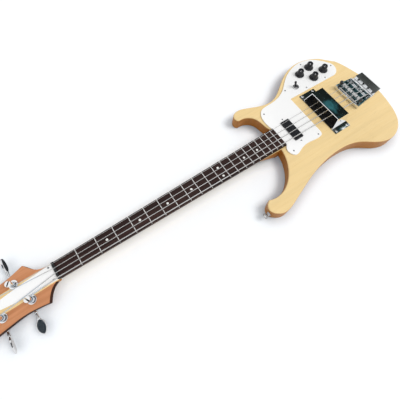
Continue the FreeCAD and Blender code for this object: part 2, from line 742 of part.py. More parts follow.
def truss_rod_cover():
    near, wide, far = COVER_START_WIDTH / 2, COVER_SHOULDER_WIDTH / 2, COVER_END_WIDTH / 2
    length = COVER_LENGTH - far
    side = [(0, near), (-COVER_SHOULDER / 2, (near + wide) / 2), (-COVER_SHOULDER, wide), (-length, far)]
    upper = spline(side, 0)
    lower = spline([(x, -y) for x, y in reversed(side)], 0)
    end = Part.Arc(V(-length, far, 0), V(-COVER_LENGTH, 0, 0), V(-length, -far, 0)).toShape()
    plate = solid_of([upper, end, lower, line((0, -near), (0, near), 0)], COVER_THICK)
    plate.translate(V(-PART_CLEARANCE, 0, 0))
    holes = [placed(pilot(COVER_THICK, SMALL_SHANK_RADIUS), spot) for spot in cover_screw_seats()]
    return placed(plate, HEAD_PLACE).cut(holes)


# Strings
def string_floor(x):
    """The height of the underside of every string over its playing length."""
    at_nut = BOARD_TOP + FRET_RISE + STRING_ACTION
    at_saddle = TOP + SADDLE_RISE
    return at_nut + (at_saddle - at_nut) * (x + SCALE_LENGTH) / SCALE_LENGTH


def arc_between(first, corner, last):
    """A tangent arc from first to last whose end tangents meet at the corner."""
    middle = (first + last) * 0.5
    half_turn = (corner - first).getAngle(last - first)
    share = math.tan(half_turn / 2) / math.tan(half_turn)
    return Part.Arc(first, middle + (corner - middle) * share, last).toShape()


def biarc(first, first_way, last, last_way):
    """Two tangent arcs that leave one point and reach another along given directions."""
    across = last - first
    ways = first_way + last_way
    square = 2 * (1 - first_way.dot(last_way))
    along = across.dot(ways)
    reach = (math.sqrt(along * along + square * across.dot(across)) - along) / square
    start_corner = first + first_way * reach
    end_corner = last - last_way * reach
    joint = (start_corner + end_corner) * 0.5
    return [arc_between(first, start_corner, joint), arc_between(joint, end_corner, last)]


def rounded_path(points, radius):
    """Straight runs joined by tangent arcs."""
    edges = []
    start = points[0]
    for before, corner, after in zip(points, points[1:], points[2:]):
        into, out = unit(corner - before), unit(after - corner)
        reach = radius * math.tan(into.getAngle(out) / 2)
        first, last = corner - into * reach, corner + out * reach
        edges.append(Part.makeLine(start, first))
        edges.append(arc_between(first, corner, last))
        start = last
    return edges + [Part.makeLine(start, points[-1])]


def wrap_points(index):
    """The winding on the post: points and directions a quarter turn apart, in the head's own frame."""
    radius = STRING_RADII[index]
    distance, post_y = TUNER_PLACES[index]
    inner = -math.copysign(1, post_y)
    ring = POST_RADIUS + PART_CLEARANCE + radius
    pitch = 2 * radius + WRAP_GAP
    top = BUSH_FLANGE_THICK + WRAP_FLOOR + radius + pitch * WRAP_QUARTERS / 4
    nut_point = HEAD_PLACE.inverse().multVec(nut_touch(index))
    flat = V(-distance - nut_point.x, post_y - nut_point.y, 0)
    swing = math.asin(ring / flat.Length) * -inner
    way = FreeCAD.Rotation(V(0, 0, 1), math.degrees(swing)).multVec(unit(flat))
    out = V(-way.y, way.x, 0) * -inner
    start = math.atan2(out.y, out.x)
    points, ways = [], []
    for quarter in range(WRAP_QUARTERS + 1):
        angle = start + inner * quarter * math.pi / 2
        height = top - pitch * quarter / 4
        points.append(V(-distance + ring * math.cos(angle), post_y + ring * math.sin(angle), height))
        fall = -pitch / (2 * math.pi)
        ways.append(unit(V(-inner * ring * math.sin(angle), inner * ring * math.cos(angle), fall)))
    return points, ways


def nut_touch(index):
    radius = STRING_RADII[index]
    x = -SCALE_LENGTH - NUT_LENGTH / 2
    return V(x, string_y(index, NUT_STRING_GAP), string_floor(-SCALE_LENGTH) + radius)


def wrap_gap(points, radius):
    """The least free gap between one turn of a winding and the next."""
    turns = [(a - b).Length for i, a in enumerate(points) for b in points[i + 4:]]
    return min(turns) - 2 * radius


def ball_centre(index):
    radius = STRING_RADII[index]
    x = COMB_X + COMB_THICK + PART_CLEARANCE + BALL_RADIUS
    y = string_y(index, BRIDGE_STRING_GAP)
    rise = SADDLE_RISE + (COMB_SEAT_RISE - SADDLE_RISE) * x / COMB_X
    return V(x, y, TOP + rise + radius)


def guitar_string(index):
    radius = STRING_RADII[index]
    saddle = V(0, string_y(index, BRIDGE_STRING_GAP), string_floor(0) + radius)
    points, ways = wrap_points(index)
    points = [HEAD_PLACE.multVec(point) for point in points]
    ways = [HEAD_PLACE.Rotation.multVec(way) for way in ways]
    edges = rounded_path([ball_centre(index), saddle, nut_touch(index), points[0]], BEND_RADIUS)
    ways[0] = unit(points[0] - nut_touch(index))
    for i in range(WRAP_QUARTERS):
        edges += biarc(points[i], ways[i], points[i + 1], ways[i + 1])
    print("string", STRING_NAMES[index], "least gap in its winding", round(wrap_gap(points, radius), 2))
    start_way = unit(saddle - ball_centre(index))
    profile = Part.Wire(Part.makeCircle(radius, ball_centre(index), start_way))
    tube = Part.Wire(edges).makePipeShell([profile], True, False)
    low = ball_centre(index) - V(0, BALL_LENGTH / 2, 0)
    return tube.fuse(Part.makeCylinder(BALL_RADIUS, BALL_LENGTH, low, V(0, 1, 0)))


# Tuners, drawn in the head's own frame with the head face at Z = 0
def tuner_bush(distance, y):
    flange = rod(-distance, y, 0, BUSH_FLANGE_THICK, BUSH_FLANGE_RADIUS)
    tube = rod(-distance, y, -BUSH_LENGTH, 0, BUSH_RADIUS)
    bore = rod(-distance, y, -BUSH_LENGTH, BUSH_FLANGE_THICK, POST_SHAFT_RADIUS + RUNNING_CLEARANCE)
    return placed(flange.fuse(tube).cut(bore), HEAD_PLACE)


def tuner_bushes():
    return group([tuner_bush(distance, y) for distance, y in TUNER_PLACES])


def tuner_plate(distance, y):
    low = PLATE_TOP - TUNER_PLATE_THICK
    front, back = -distance + TUNER_PLATE_FRONT, -distance - TUNER_PLATE_BACK
    sheet = block(back, front, y - TUNER_PLATE_HALF_WIDTH, y + TUNER_PLATE_HALF_WIDTH, low, PLATE_TOP)
    axis_x = -distance - WORM_OFFSET
    reach = WORM_RADIUS + TUNER_PLATE_THICK
    inner = WORM_LENGTH / 2 + PART_CLEARANCE
    ears = []
    for side in (-1, 1):
        low_y, high_y = sorted([y + side * inner, y + side * (inner + EAR_THICK)])
        ears.append(block(axis_x - reach, axis_x + WORM_RADIUS, low_y, high_y, WORM_DROP - WORM_RADIUS, low))
    span = inner + EAR_THICK
    bore_start = V(axis_x, y - span, WORM_DROP)
    bore = Part.makeCylinder(KEY_SHAFT_RADIUS + RUNNING_CLEARANCE, 2 * span, bore_start, V(0, 1, 0))
    post_hole = rod(-distance, y, low, PLATE_TOP, POST_SHAFT_RADIUS + PART_CLEARANCE)
    plate = placed(sheet.fuse(ears).cut([bore, post_hole]), HEAD_PLACE)
    screw_hole = pilot(TUNER_PLATE_THICK, SMALL_SHANK_RADIUS)
    return plate.cut([placed(screw_hole, spot) for spot in tuner_screw_seats()])


def tuner_plates():
    return group([tuner_plate(distance, y) for distance, y in TUNER_PLACES])


def tuner_post(distance, y, slot_angle):
    """The slotted post with the toothed wheel that is fixed on its lower end."""
    barrel_low = BUSH_FLANGE_THICK + PART_CLEARANCE
    shaft = rod(-distance, y, GEAR_TOP - GEAR_THICK, barrel_low, POST_SHAFT_RADIUS)
    barrel = rod(-distance, y, barrel_low, POST_RISE, POST_RADIUS)
    crown = rod(-distance, y, POST_RISE - POST_TOP_LENGTH, POST_RISE, POST_TOP_RADIUS)
    slot = block(-distance - POST_SLOT_WIDTH / 2, -distance + POST_SLOT_WIDTH / 2, y - POST_TOP_RADIUS,
                 y + POST_TOP_RADIUS, POST_RISE - POST_SLOT_DEPTH, POST_RISE)
    slot = turned(slot, V(-distance, y, 0), V(0, 0, 1), slot_angle)
    teeth = []
    for step in range(2 * GEAR_TEETH):
        angle = math.pi * step / GEAR_TEETH
        radius = GEAR_RADIUS - GEAR_TOOTH * (step % 2)
        teeth.append((-distance + radius * math.cos(angle), y + radius * math.sin(angle)))
    wheel = prism(teeth, GEAR_TOP - GEAR_THICK, GEAR_TOP)
    return placed(shaft.fuse([barrel, crown, wheel]).cut(slot), HEAD_PLACE)


def tuner_key(distance, y, rest_angle):
    """The key: worm, shaft, bead, stem and leaf-shaped button, turned to its rest angle."""
    side = math.copysign(1, y)
    axis_x = -distance - WORM_OFFSET
    way = V(0, side, 0)

    def at(reach):
        return V(axis_x, side * reach, WORM_DROP)

    foot = abs(y) - WORM_LENGTH / 2 - EAR_THICK
    shaft = Part.makeCylinder(KEY_SHAFT_RADIUS, KEY_REACH - foot, at(foot), way)
    worm = Part.makeCylinder(WORM_RADIUS, WORM_LENGTH, at(abs(y) - WORM_LENGTH / 2), way)
    bead = Part.makeCylinder(KEY_BEAD_RADIUS, KEY_BEAD_LENGTH, at(KEY_BEAD_REACH), way)
    stem_foot = at(KEY_REACH - KEY_STEM_LENGTH)
    stem = Part.makeCone(KEY_SHAFT_RADIUS, KEY_STEM_RADIUS, KEY_STEM_LENGTH, stem_foot, way)
    edge = [(KEY_HALF_WIDTH * width, side * (KEY_REACH + KEY_LENGTH * share)) for share, width in KEY_OUTLINE]
    tip = [(0, side * (KEY_REACH + KEY_LENGTH))]
    outline = edge + tip + [(-x, reach) for x, reach in reversed(edge)]
    outline = [(axis_x + x, reach) for x, reach in outline]
    low = WORM_DROP - KEY_THICK / 2
    leaf = solid_of([spline(outline, low), line(outline[-1], outline[0], low)], KEY_THICK)
    key = shaft.fuse([worm, bead, stem, leaf]).removeSplitter()
    return placed(turned(key, at(0), V(0, 1, 0), rest_angle), HEAD_PLACE)


# Pickguard
def neck_pickup_window():
    half = NECK_PICKUP_WIDTH / 2 + PICKUP_CLEARANCE
    reach = NECK_PICKUP_LENGTH / 2 + PICKUP_CLEARANCE
    return block(NECK_PICKUP_X - half, NECK_PICKUP_X + half, -reach, reach, TOP, GUARD_TOP)


def neck_pickup_screw_seats():
    return [seat(NECK_PICKUP_X, side * NECK_PICKUP_SCREW_REACH, GUARD_TOP) for side in (-1, 1)]


def pickguard():
    board_half = BOARD_END_WIDTH / 2 + GUARD_GAP
    near = BOARD_END + GUARD_GAP
    treble = spline([(near, board_half)] + GUARD_TREBLE, TOP)
    bass = spline([GUARD_POINT] + GUARD_BASS + [(near, -board_half)], TOP)
    edges = [treble, line(GUARD_TREBLE[-1], GUARD_CORNER, TOP), line(GUARD_CORNER, GUARD_POINT, TOP), bass,
             line((near, -board_half), (near, board_half), TOP)]
    sheet = solid_of(edges, GUARD_THICK)
    holes = [rod(x, y, TOP, GUARD_TOP, BUSHING_RADIUS + HOLE_CLEARANCE) for x, y in KNOB_PLACES]
    holes.append(rod(*SWITCH_PLACE, TOP, GUARD_TOP, SWITCH_BUSHING_RADIUS + HOLE_CLEARANCE))
    holes += [placed(pilot(GUARD_THICK, SMALL_SHANK_RADIUS), spot)
              for spot in guard_screw_seats() + neck_pickup_screw_seats()]
    return sheet.cut(holes + [neck_pickup_window()])


# Neck pickup
def neck_pickup_cover():
    """A closed black shell with two ears at its foot for the height screws."""
    half, reach = NECK_PICKUP_WIDTH / 2, NECK_PICKUP_LENGTH / 2
    x0, x1 = NECK_PICKUP_X - half, NECK_PICKUP_X + half
    top = TOP + NECK_PICKUP_TOP
    shell = block(x0, x1, -reach, reach, PICKUP_FLOOR, top)
    ear = NECK_PICKUP_SCREW_REACH + PICKUP_EAR
    ears = block(NECK_PICKUP_X - PICKUP_EAR, NECK_PICKUP_X + PICKUP_EAR, -ear, ear, PICKUP_FLOOR,
                 PICKUP_FLOOR + PICKUP_WALL)
    hollow = block(x0 + PICKUP_WALL, x1 - PICKUP_WALL, -reach + PICKUP_WALL, reach - PICKUP_WALL,
                   PICKUP_FLOOR, top - PICKUP_WALL)
    cuts = [hollow] + neck_poles(POLE_RADIUS + HOLE_CLEARANCE)
    screw_hole = SMALL_SHANK_RADIUS + HOLE_CLEARANCE
    cuts += [rod(NECK_PICKUP_X, side * NECK_PICKUP_SCREW_REACH, PICKUP_FLOOR, TOP, screw_hole)
             for side in (-1, 1)]
    return shell.fuse(ears).cut(cuts)


def neck_poles(radius):
    top = TOP + NECK_PICKUP_TOP + POLE_RISE
    return [rod(NECK_PICKUP_X, string_y_at(index, NECK_PICKUP_X), PICKUP_FLOOR, top, radius)
            for index in range(len(STRING_NAMES))]


def neck_pickup_coil():
    inset = PICKUP_WALL + PICKUP_CLEARANCE
    half, reach = NECK_PICKUP_WIDTH / 2 - inset, NECK_PICKUP_LENGTH / 2 - inset
    top = TOP + NECK_PICKUP_TOP - inset
    coil = block(NECK_PICKUP_X - half, NECK_PICKUP_X + half, -reach, reach, PICKUP_FLOOR, top)
    return coil.cut(neck_poles(POLE_RADIUS + HOLE_CLEARANCE))


def neck_pickup_poles():
    return group(neck_poles(POLE_RADIUS))


def neck_pickup_screws():
    length = GUARD_TOP - PICKUP_FLOOR - HOLE_CLEARANCE
    return group([placed(small_screw(length), spot) for spot in neck_pickup_screw_seats()])


# Bridge pickup and its cover
def bridge_poles(radius):
    x = BRIDGE_PICKUP_FRONT + BRIDGE_PICKUP_WIDTH / 2
    top = TOP + BRIDGE_PICKUP_TOP + POLE_RISE
    return [rod(x, string_y_at(index, x), PICKUP_FLOOR, top, radius) for index in range(len(STRING_NAMES))]


def bridge_pickup_bobbin():
    half = BRIDGE_PICKUP_LENGTH / 2
    body = block(BRIDGE_PICKUP_FRONT, BRIDGE_PICKUP_FRONT + BRIDGE_PICKUP_WIDTH, -half, half, PICKUP_FLOOR,
                 TOP + BRIDGE_PICKUP_TOP)
    return body.cut(bridge_poles(POLE_RADIUS + HOLE_CLEARANCE))


def bridge_pickup_poles():
    return group(bridge_poles(POLE_RADIUS))


def bridge_pickup_cover():
    """A bright sheet cover: a flat frame round the pickup and an arch over the strings."""
    top, sheet = TOP + ARCH_RISE, COVER_SHEET
    base = block(COVER_FRONT, COVER_BACK, -COVER_HALF_LENGTH, COVER_HALF_LENGTH, TOP, TOP + sheet)
    half = BRIDGE_PICKUP_LENGTH / 2 + 2 * PICKUP_CLEARANCE
    window = block(BRIDGE_PICKUP_FRONT - PICKUP_CLEARANCE, COVER_BACK - COVER_RAIL, -half, half, TOP,
                   TOP + sheet)
    outer = [(-ARCH_FOOT, TOP), (-ARCH_SHOULDER, top), (ARCH_SHOULDER, top), (ARCH_FOOT, TOP)]
    inner = [(-ARCH_FOOT + sheet, TOP), (-ARCH_SHOULDER + sheet, top - sheet),
             (ARCH_SHOULDER - sheet, top - sheet), (ARCH_FOOT - sheet, TOP)]
    run = V(COVER_BACK - COVER_FRONT, 0, 0)
    arch = polygon_face([V(COVER_FRONT, y, z) for y, z in outer]).extrude(run)
    arch = arch.cut(polygon_face([V(COVER_FRONT, y, z) for y, z in inner]).extrude(run))
    rake = side_prism([(COVER_FRONT - sheet, TOP + sheet), (COVER_FRONT + COVER_RAKE_FOOT, TOP + sheet),
                       (ARCH_FRONT, top), (ARCH_FRONT, top + sheet), (COVER_FRONT - sheet, top + sheet)],
                      -COVER_HALF_LENGTH, COVER_HALF_LENGTH)
    holes = [placed(pilot(sheet, LARGE_SHANK_RADIUS), spot) for spot in arch_screw_seats()]
    return base.cut([window] + holes).fuse(arch.cut(rake)).removeSplitter()


# Knobs, potentiometers and switch
def knob(x, y):
    """A skirted knob, hollow below to clear the nut, with the shaft that it grips."""
    foot = GUARD_TOP + KNOB_LIFT
    shoulder = foot + KNOB_SKIRT_RISE
    top = shoulder + KNOB_CAP_RISE
    skirt = Part.makeCone(KNOB_SKIRT_RADIUS, KNOB_SHOULDER_RADIUS, KNOB_SKIRT_RISE, V(x, y, foot))
    cap = Part.makeCone(KNOB_CAP_RADIUS, KNOB_CAP_RADIUS - KNOB_CAP_TAPER, KNOB_CAP_RISE, V(x, y, shoulder))
    hollow_top = GUARD_TOP + max(BUSHING_RISE, NUT_THICK) + KNOB_LIFT
    hollow = rod(x, y, foot, hollow_top, KNOB_HOLLOW_RADIUS)
    shaft_top = top - KNOB_ROOF
    bore = rod(x, y, foot, shaft_top, SHAFT_RADIUS)
    shaft = rod(x, y, TOP - POT_DEPTH / 2, shaft_top, SHAFT_RADIUS)
    return group([skirt.fuse(cap).cut([hollow, bore]), shaft])


def pot_case(x, y):
    case = rod(x, y, TOP - POT_DEPTH, TOP, POT_RADIUS)
    bushing = rod(x, y, TOP, GUARD_TOP + BUSHING_RISE, BUSHING_RADIUS)
    bore_low = TOP - POT_DEPTH / 2 - PART_CLEARANCE
    bore = rod(x, y, bore_low, GUARD_TOP + BUSHING_RISE, SHAFT_RADIUS + RUNNING_CLEARANCE)
    return case.fuse(bushing).cut(bore)


def pot_cases():
    return group([pot_case(x, y) for x, y in KNOB_PLACES])


def control_nuts():
    nuts = []
    for x, y in KNOB_PLACES:
        ring = hexagon(x, y, GUARD_TOP, GUARD_TOP + NUT_THICK, NUT_HEX_RADIUS)
        nuts.append(ring.cut(rod(x, y, GUARD_TOP, GUARD_TOP + NUT_THICK, BUSHING_RADIUS + HOLE_CLEARANCE)))
    switch_nut_top = GUARD_TOP + SWITCH_NUT_THICK
    ring = rod(*SWITCH_PLACE, GUARD_TOP, switch_nut_top, SWITCH_NUT_RADIUS)
    hole = rod(*SWITCH_PLACE, GUARD_TOP, switch_nut_top, SWITCH_BUSHING_RADIUS + HOLE_CLEARANCE)
    nuts.append(ring.cut(hole))
    jack_nut = hexagon(0, 0, 0, NUT_THICK, NUT_HEX_RADIUS + JACK_BUSH_RADIUS - BUSHING_RADIUS)
    jack_nut = jack_nut.cut(rod(0, 0, 0, NUT_THICK, JACK_BUSH_RADIUS + HOLE_CLEARANCE))
    nuts.append(placed(jack_nut, jack_place().multiply(seat(JACK_PLATE_THICK, 0, 0, V(1, 0, 0)))))
    return group(nuts)


def switch_frame():
    """The switch's bushing, pivot pin, mounting plate and two leaf stacks, turned to the lever's heading."""
    plate_low = TOP - SWITCH_PLATE_THICK
    inner = SWITCH_LEAF_GAP / 2
    outer = inner + SWITCH_LEAF_THICK
    half = SWITCH_LEAF_WIDTH / 2
    plate = block(-outer, outer, -half, half, plate_low, TOP)
    leaf_low = plate_low - SWITCH_LEAF_DEPTH
    leaves = [block(x0, x1, -half, half, leaf_low, plate_low)
              for x0, x1 in ((-outer, -inner), (inner, outer))]
    bushing = rod(0, 0, plate_low, GUARD_TOP + SWITCH_BUSHING_RISE, SWITCH_BUSHING_RADIUS)
    bore = rod(0, 0, plate_low, GUARD_TOP + SWITCH_BUSHING_RISE, SWITCH_BORE_RADIUS)
    reach = SWITCH_BUSHING_RADIUS - PART_CLEARANCE
    pin = Part.makeCylinder(SWITCH_PIN_RADIUS, 2 * reach, V(0, -reach, SWITCH_PIVOT), V(0, 1, 0))
    frame = plate.fuse(leaves + [bushing]).cut(bore).fuse(pin)
    heading = FreeCAD.Rotation(V(0, 0, 1), SWITCH_LEAN_HEADING)
    return placed(frame, FreeCAD.Placement(V(SWITCH_PLACE[0], SWITCH_PLACE[1], 0), heading))


def pivot_axis():
    heading = math.radians(SWITCH_LEAN_HEADING)
    return V(-math.sin(heading), math.cos(heading), 0)


def leaned(shape):
    """Stand a piece drawn along Z at the switch pivot and lean it to its rest position."""
    lean = FreeCAD.Rotation(pivot_axis(), SWITCH_LEAN)
    return placed(shape, FreeCAD.Placement(V(*SWITCH_PLACE, SWITCH_PIVOT), lean))


def switch_lever():
    stem = rod(0, 0, -LEVER_STUB, LEVER_RISE, LEVER_RADIUS)
    radius = SWITCH_BORE_RADIUS - SWITCH_BALL_GAP
    axis = pivot_axis()
    hole = Part.makeCylinder(SWITCH_PIN_RADIUS + RUNNING_CLEARANCE, 2 * radius, axis * -radius, axis)
    return leaned(stem.fuse(Part.makeSphere(radius)).cut(hole))


def switch_tip():
    low = LEVER_RISE - TIP_LENGTH + TIP_OVERHANG
    barrel = Part.makeCone(TIP_FOOT_RADIUS, TIP_RADIUS, TIP_LENGTH, V(0, 0, low))
    dome = Part.makeSphere(TIP_RADIUS, V(0, 0, low + TIP_LENGTH))
    bore = rod(0, 0, low, LEVER_RISE, LEVER_RADIUS)
    return leaned(barrel.fuse(dome).cut(bore))


# Output jack
def jack_plate():
    half, rise = JACK_PLATE_LENGTH / 2, JACK_PLATE_HEIGHT / 2
    plate = block(0, JACK_PLATE_THICK, -half, half, -rise, rise)
    hole = Part.makeCylinder(JACK_BUSH_RADIUS + HOLE_CLEARANCE, JACK_PLATE_THICK, V(0, 0, 0), V(1, 0, 0))
    holes = [placed(pilot(JACK_PLATE_THICK, SMALL_SHANK_RADIUS), spot) for spot in jack_screw_seats()]
    return placed(plate.cut(hole), jack_place()).cut(holes)


def jack_socket():
    mouth = JACK_PLATE_THICK + NUT_THICK + JACK_LIP
    barrel = Part.makeCylinder(JACK_BARREL_RADIUS, JACK_BORE_LENGTH, V(0, 0, 0), V(-1, 0, 0))
    bush = Part.makeCylinder(JACK_BUSH_RADIUS, mouth, V(0, 0, 0), V(1, 0, 0))
    bore = Part.makeCylinder(JACK_BORE_RADIUS, JACK_BORE_LENGTH, V(mouth, 0, 0), V(-1, 0, 0))
    return placed(barrel.fuse(bush).cut(bore), jack_place())


# Tailpiece
def tail_half_width(x):
    share = (x - TAIL_FRONT) / (TAIL_BACK - TAIL_FRONT)
    return (TAIL_FRONT_WIDTH + (TAIL_BACK_WIDTH - TAIL_FRONT_WIDTH) * share) / 2


def tail_outline(x0, x1, inset):
    near, far = tail_half_width(x0) - inset, tail_half_width(x1) - inset
    return [(x0, -near), (x1, -far), (x1, far), (x0, near)]


def tailpiece():
    """One casting: floor, side walls, a low front rim, a slotted comb and a raised tail block."""
    floor_top = TOP + TAIL_FLOOR
    base = prism(tail_outline(TAIL_FRONT, TAIL_BACK, 0), TOP, floor_top)
    side_top = TOP + TAIL_SIDE_RISE
    inside = TAIL_FRONT + TAIL_WALL
    walls = prism(tail_outline(TAIL_FRONT, COMB_X, 0), TOP, side_top)
    walls = walls.cut(prism(tail_outline(inside, COMB_X, TAIL_WALL), floor_top, side_top))
    front_cut = block(TAIL_FRONT, inside, -FRAME_HALF_WIDTH, FRAME_HALF_WIDTH, TOP + TAIL_FRONT_RISE,
                      side_top)
    comb = prism(tail_outline(COMB_X, COMB_X + COMB_THICK, 0), TOP, TOP + COMB_RISE)
    block_front = COMB_X + COMB_THICK + TROUGH_LENGTH
    block_top = TOP + TAIL_BLOCK_BACK_RISE
    profile = [(block_front, TOP), (block_front, TOP + TAIL_BLOCK_FRONT_RISE),
               (TAIL_BACK - TAIL_SLOPE, block_top), (TAIL_BACK, block_top - TAIL_SLOPE / 2), (TAIL_BACK, TOP)]
    raised = side_prism(profile, -TAIL_FRONT_WIDTH, TAIL_FRONT_WIDTH)
    raised = raised.common(prism(tail_outline(block_front, TAIL_BACK, 0), TOP, block_top))
    cuts = [front_cut]
    slot_low = TOP + COMB_SEAT_RISE - COMB_SLOT_DROP
    for index, radius in enumerate(STRING_RADII):
        y, wide = string_y(index, BRIDGE_STRING_GAP), radius + PART_CLEARANCE
        cuts.append(block(COMB_X, COMB_X + COMB_THICK, y - wide, y + wide, slot_low, TOP + COMB_RISE))
    cuts += [placed(pilot(TAIL_FLOOR, LARGE_SHANK_RADIUS), spot) for spot in tail_screw_seats()]
    stem_hole = THUMB_STEM_RADIUS + RUNNING_CLEARANCE
    cuts += [rod(thumb_x(), side * THUMB_REACH, TOP, floor_top, stem_hole) for side in (-1, 1)]
    return base.fuse([walls, comb, raised]).removeSplitter().cut(cuts)


# Bridge frame and saddles
def bridge_frame():
    floor = TOP + TAIL_FLOOR
    half = FRAME_HALF_WIDTH
    tray = block(FRAME_FRONT, FRAME_BACK, -half, half, floor, FRAME_TOP)
    front = block(FRAME_FRONT, FRAME_FRONT + FRAME_WALL, -half, half, floor, FRAME_TOP + FRAME_FRONT_RISE)
    back = block(FRAME_BACK - FRAME_WALL, FRAME_BACK, -half, half, floor, FRAME_TOP + FRAME_BACK_RISE)
    radius, length = SADDLE_SCREW_RADIUS + HOLE_CLEARANCE, FRAME_BACK - FRAME_FRONT
    cuts = []
    for index in range(len(STRING_NAMES)):
        start = V(FRAME_FRONT, string_y(index, BRIDGE_STRING_GAP), SADDLE_SCREW_Z)
        cuts.append(Part.makeCylinder(radius, length, start, V(1, 0, 0)))
    return tray.fuse([front, back]).cut(cuts)


def saddle(index):
    """A wedge with a narrow ridge under its string, bored for the screw that moves it."""
    y = string_y(index, BRIDGE_STRING_GAP)
    low, ridge = FRAME_TOP + SLIDE_GAP, TOP + SADDLE_RISE - STRING_SEAT_GAP
    shoulder = ridge - SADDLE_SHOULDER
    profile = [(SADDLE_FRONT, low), (SADDLE_FRONT, shoulder), (-SADDLE_RIDGE, ridge), (0, ridge),
               (SADDLE_BACK, shoulder), (SADDLE_BACK, low)]
    body = side_prism(profile, y - SADDLE_WIDTH / 2, y + SADDLE_WIDTH / 2)
    bore = Part.makeCylinder(SADDLE_SCREW_RADIUS + PART_CLEARANCE, SADDLE_BACK - SADDLE_FRONT,
                             V(SADDLE_FRONT, y, SADDLE_SCREW_Z), V(1, 0, 0))
    return body.cut(bore)


def saddle_screws():
    screws = []
    for index in range(len(STRING_NAMES)):
        y, z = string_y(index, BRIDGE_STRING_GAP), SADDLE_SCREW_Z
        way = V(1, 0, 0)
        stem = Part.makeCylinder(SADDLE_SCREW_RADIUS, FRAME_BACK - FRAME_FRONT, V(FRAME_FRONT, y, z), way)
        head = Part.makeCylinder(SADDLE_SCREW_HEAD, SADDLE_SCREW_HEAD_LENGTH, V(FRAME_BACK, y, z), way)
        end, half = FRAME_BACK + SADDLE_SCREW_HEAD_LENGTH, SLOT_WIDTH / 2
        slot = block(end - SLOT_DEPTH, end, y - SADDLE_SCREW_HEAD, y + SADDLE_SCREW_HEAD, z - half, z + half)
        screws.append(stem.fuse(head).cut(slot))
    return group(screws)


# String mute
def thumb_x():
    return (MUTE_FRONT + MUTE_BACK) / 2


def mute_bar():
    bar = block(MUTE_FRONT, MUTE_BACK, -MUTE_HALF_LENGTH, MUTE_HALF_LENGTH, MUTE_BAR_Z, MUTE_TOP)
    hole = THUMB_STEM_RADIUS + PART_CLEARANCE
    return bar.cut([rod(thumb_x(), side * THUMB_REACH, MUTE_BAR_Z, MUTE_TOP, hole) for side in (-1, 1)])


def mute_foam():
    """A soft strip with a crowned top."""
    start = -FOAM_HALF_LENGTH
    low, high = MUTE_TOP, MUTE_TOP + FOAM_THICK
    corners = [V(MUTE_FRONT, start, high - FOAM_CROWN), V(MUTE_FRONT, start, low), V(MUTE_BACK, start, low),
               V(MUTE_BACK, start, high - FOAM_CROWN)]
    crown = Part.Arc(corners[3], V(thumb_x(), start, high), corners[0]).toShape()
    outline = Part.Wire(Part.makePolygon(corners).Edges + [crown])
    return Part.Face(outline).extrude(V(0, 2 * FOAM_HALF_LENGTH, 0))


def mute_thumbscrew(side):
    y = side * THUMB_REACH
    low, shoulder = TOP, TOP + THUMB_RISE
    stem = rod(thumb_x(), y, low, shoulder, THUMB_STEM_RADIUS)
    head = rod(thumb_x(), y, shoulder, shoulder + THUMB_HEAD_LENGTH, THUMB_HEAD_RADIUS)
    return stem.fuse(head)


# Strap buttons
def strap_button(spot):
    foot = Part.makeCone(BUTTON_FOOT_RADIUS, BUTTON_WAIST, BUTTON_FOOT)
    waist = Part.makeCylinder(BUTTON_WAIST, BUTTON_LENGTH)
    flare_foot = V(0, 0, BUTTON_LENGTH - BUTTON_FLANGE - BUTTON_FLARE)
    flare = Part.makeCone(BUTTON_WAIST, BUTTON_RADIUS, BUTTON_FLARE, flare_foot)
    flange = Part.makeCylinder(BUTTON_RADIUS, BUTTON_FLANGE, V(0, 0, BUTTON_LENGTH - BUTTON_FLANGE))
    bore = Part.makeCylinder(LARGE_SHANK_RADIUS + HOLE_CLEARANCE, BUTTON_LENGTH)
    return placed(waist.fuse([foot, flare, flange]).cut(bore), spot)


def strap_buttons():
    return group([strap_button(spot) for spot in button_seats()])


# Assembly
def build():
    blank = body_blank()
    parts = {
        "neck_core": neck_core(blank),
        "body_wing_treble": body_wing_treble(blank),
        "body_wing_bass": body_wing_bass(blank),
        "headstock_wing_treble": head_wing(TREBLE_FLARE, TREBLE_EDGE, TREBLE_TIP, 1),
        "headstock_wing_bass": head_wing(BASS_FLARE, BASS_EDGE, BASS_TIP, -1),
        "fretboard": fretboard(),
        "frets": frets(),
        "position_dots": position_dots(),
        "nut": nut(),
        "truss_rod": truss_rod(),
        "truss_rod_nut": truss_rod_nut(),
        "truss_rod_cover": truss_rod_cover(),
        "tuner_bushes": tuner_bushes(),
        "tuner_plates": tuner_plates(),
        "pickguard": pickguard(),
        "neck_pickup_cover": neck_pickup_cover(),
        "neck_pickup_coil": neck_pickup_coil(),
        "neck_pickup_poles": neck_pickup_poles(),
        "neck_pickup_screws": neck_pickup_screws(),
        "bridge_pickup_bobbin": bridge_pickup_bobbin(),
        "bridge_pickup_poles": bridge_pickup_poles(),
        "bridge_pickup_cover": bridge_pickup_cover(),
        "pot_cases": pot_cases(),
        "control_nuts": control_nuts(),
        "switch_frame": switch_frame(),
        "switch_lever": switch_lever(),
        "switch_tip": switch_tip(),
        "jack_plate": jack_plate(),
        "jack_socket": jack_socket(),
        "tailpiece": tailpiece(),
        "bridge_frame": bridge_frame(),
        "saddle_screws": saddle_screws(),
        "mute_bar": mute_bar(),
        "mute_foam": mute_foam(),
        "mute_thumbscrew_treble": mute_thumbscrew(1),
        "mute_thumbscrew_bass": mute_thumbscrew(-1),
        "strap_buttons": strap_buttons(),
        "small_screws": small_screws(),
        "large_screws": large_screws(),
    }
    for index, name in enumerate(STRING_NAMES):
        parts["string_" + name] = guitar_string(index)
        parts["saddle_" + name] = saddle(index)
        parts["tuner_post_" + name] = tuner_post(*TUNER_PLACES[index], SLOT_REST_ANGLES[index])
        parts["tuner_key_" + name] = tuner_key(*TUNER_PLACES[index], KEY_REST_ANGLES[index])
    for name, (x, y) in zip(KNOB_NAMES, KNOB_PLACES):
        parts[name] = knob(x, y)
    return parts


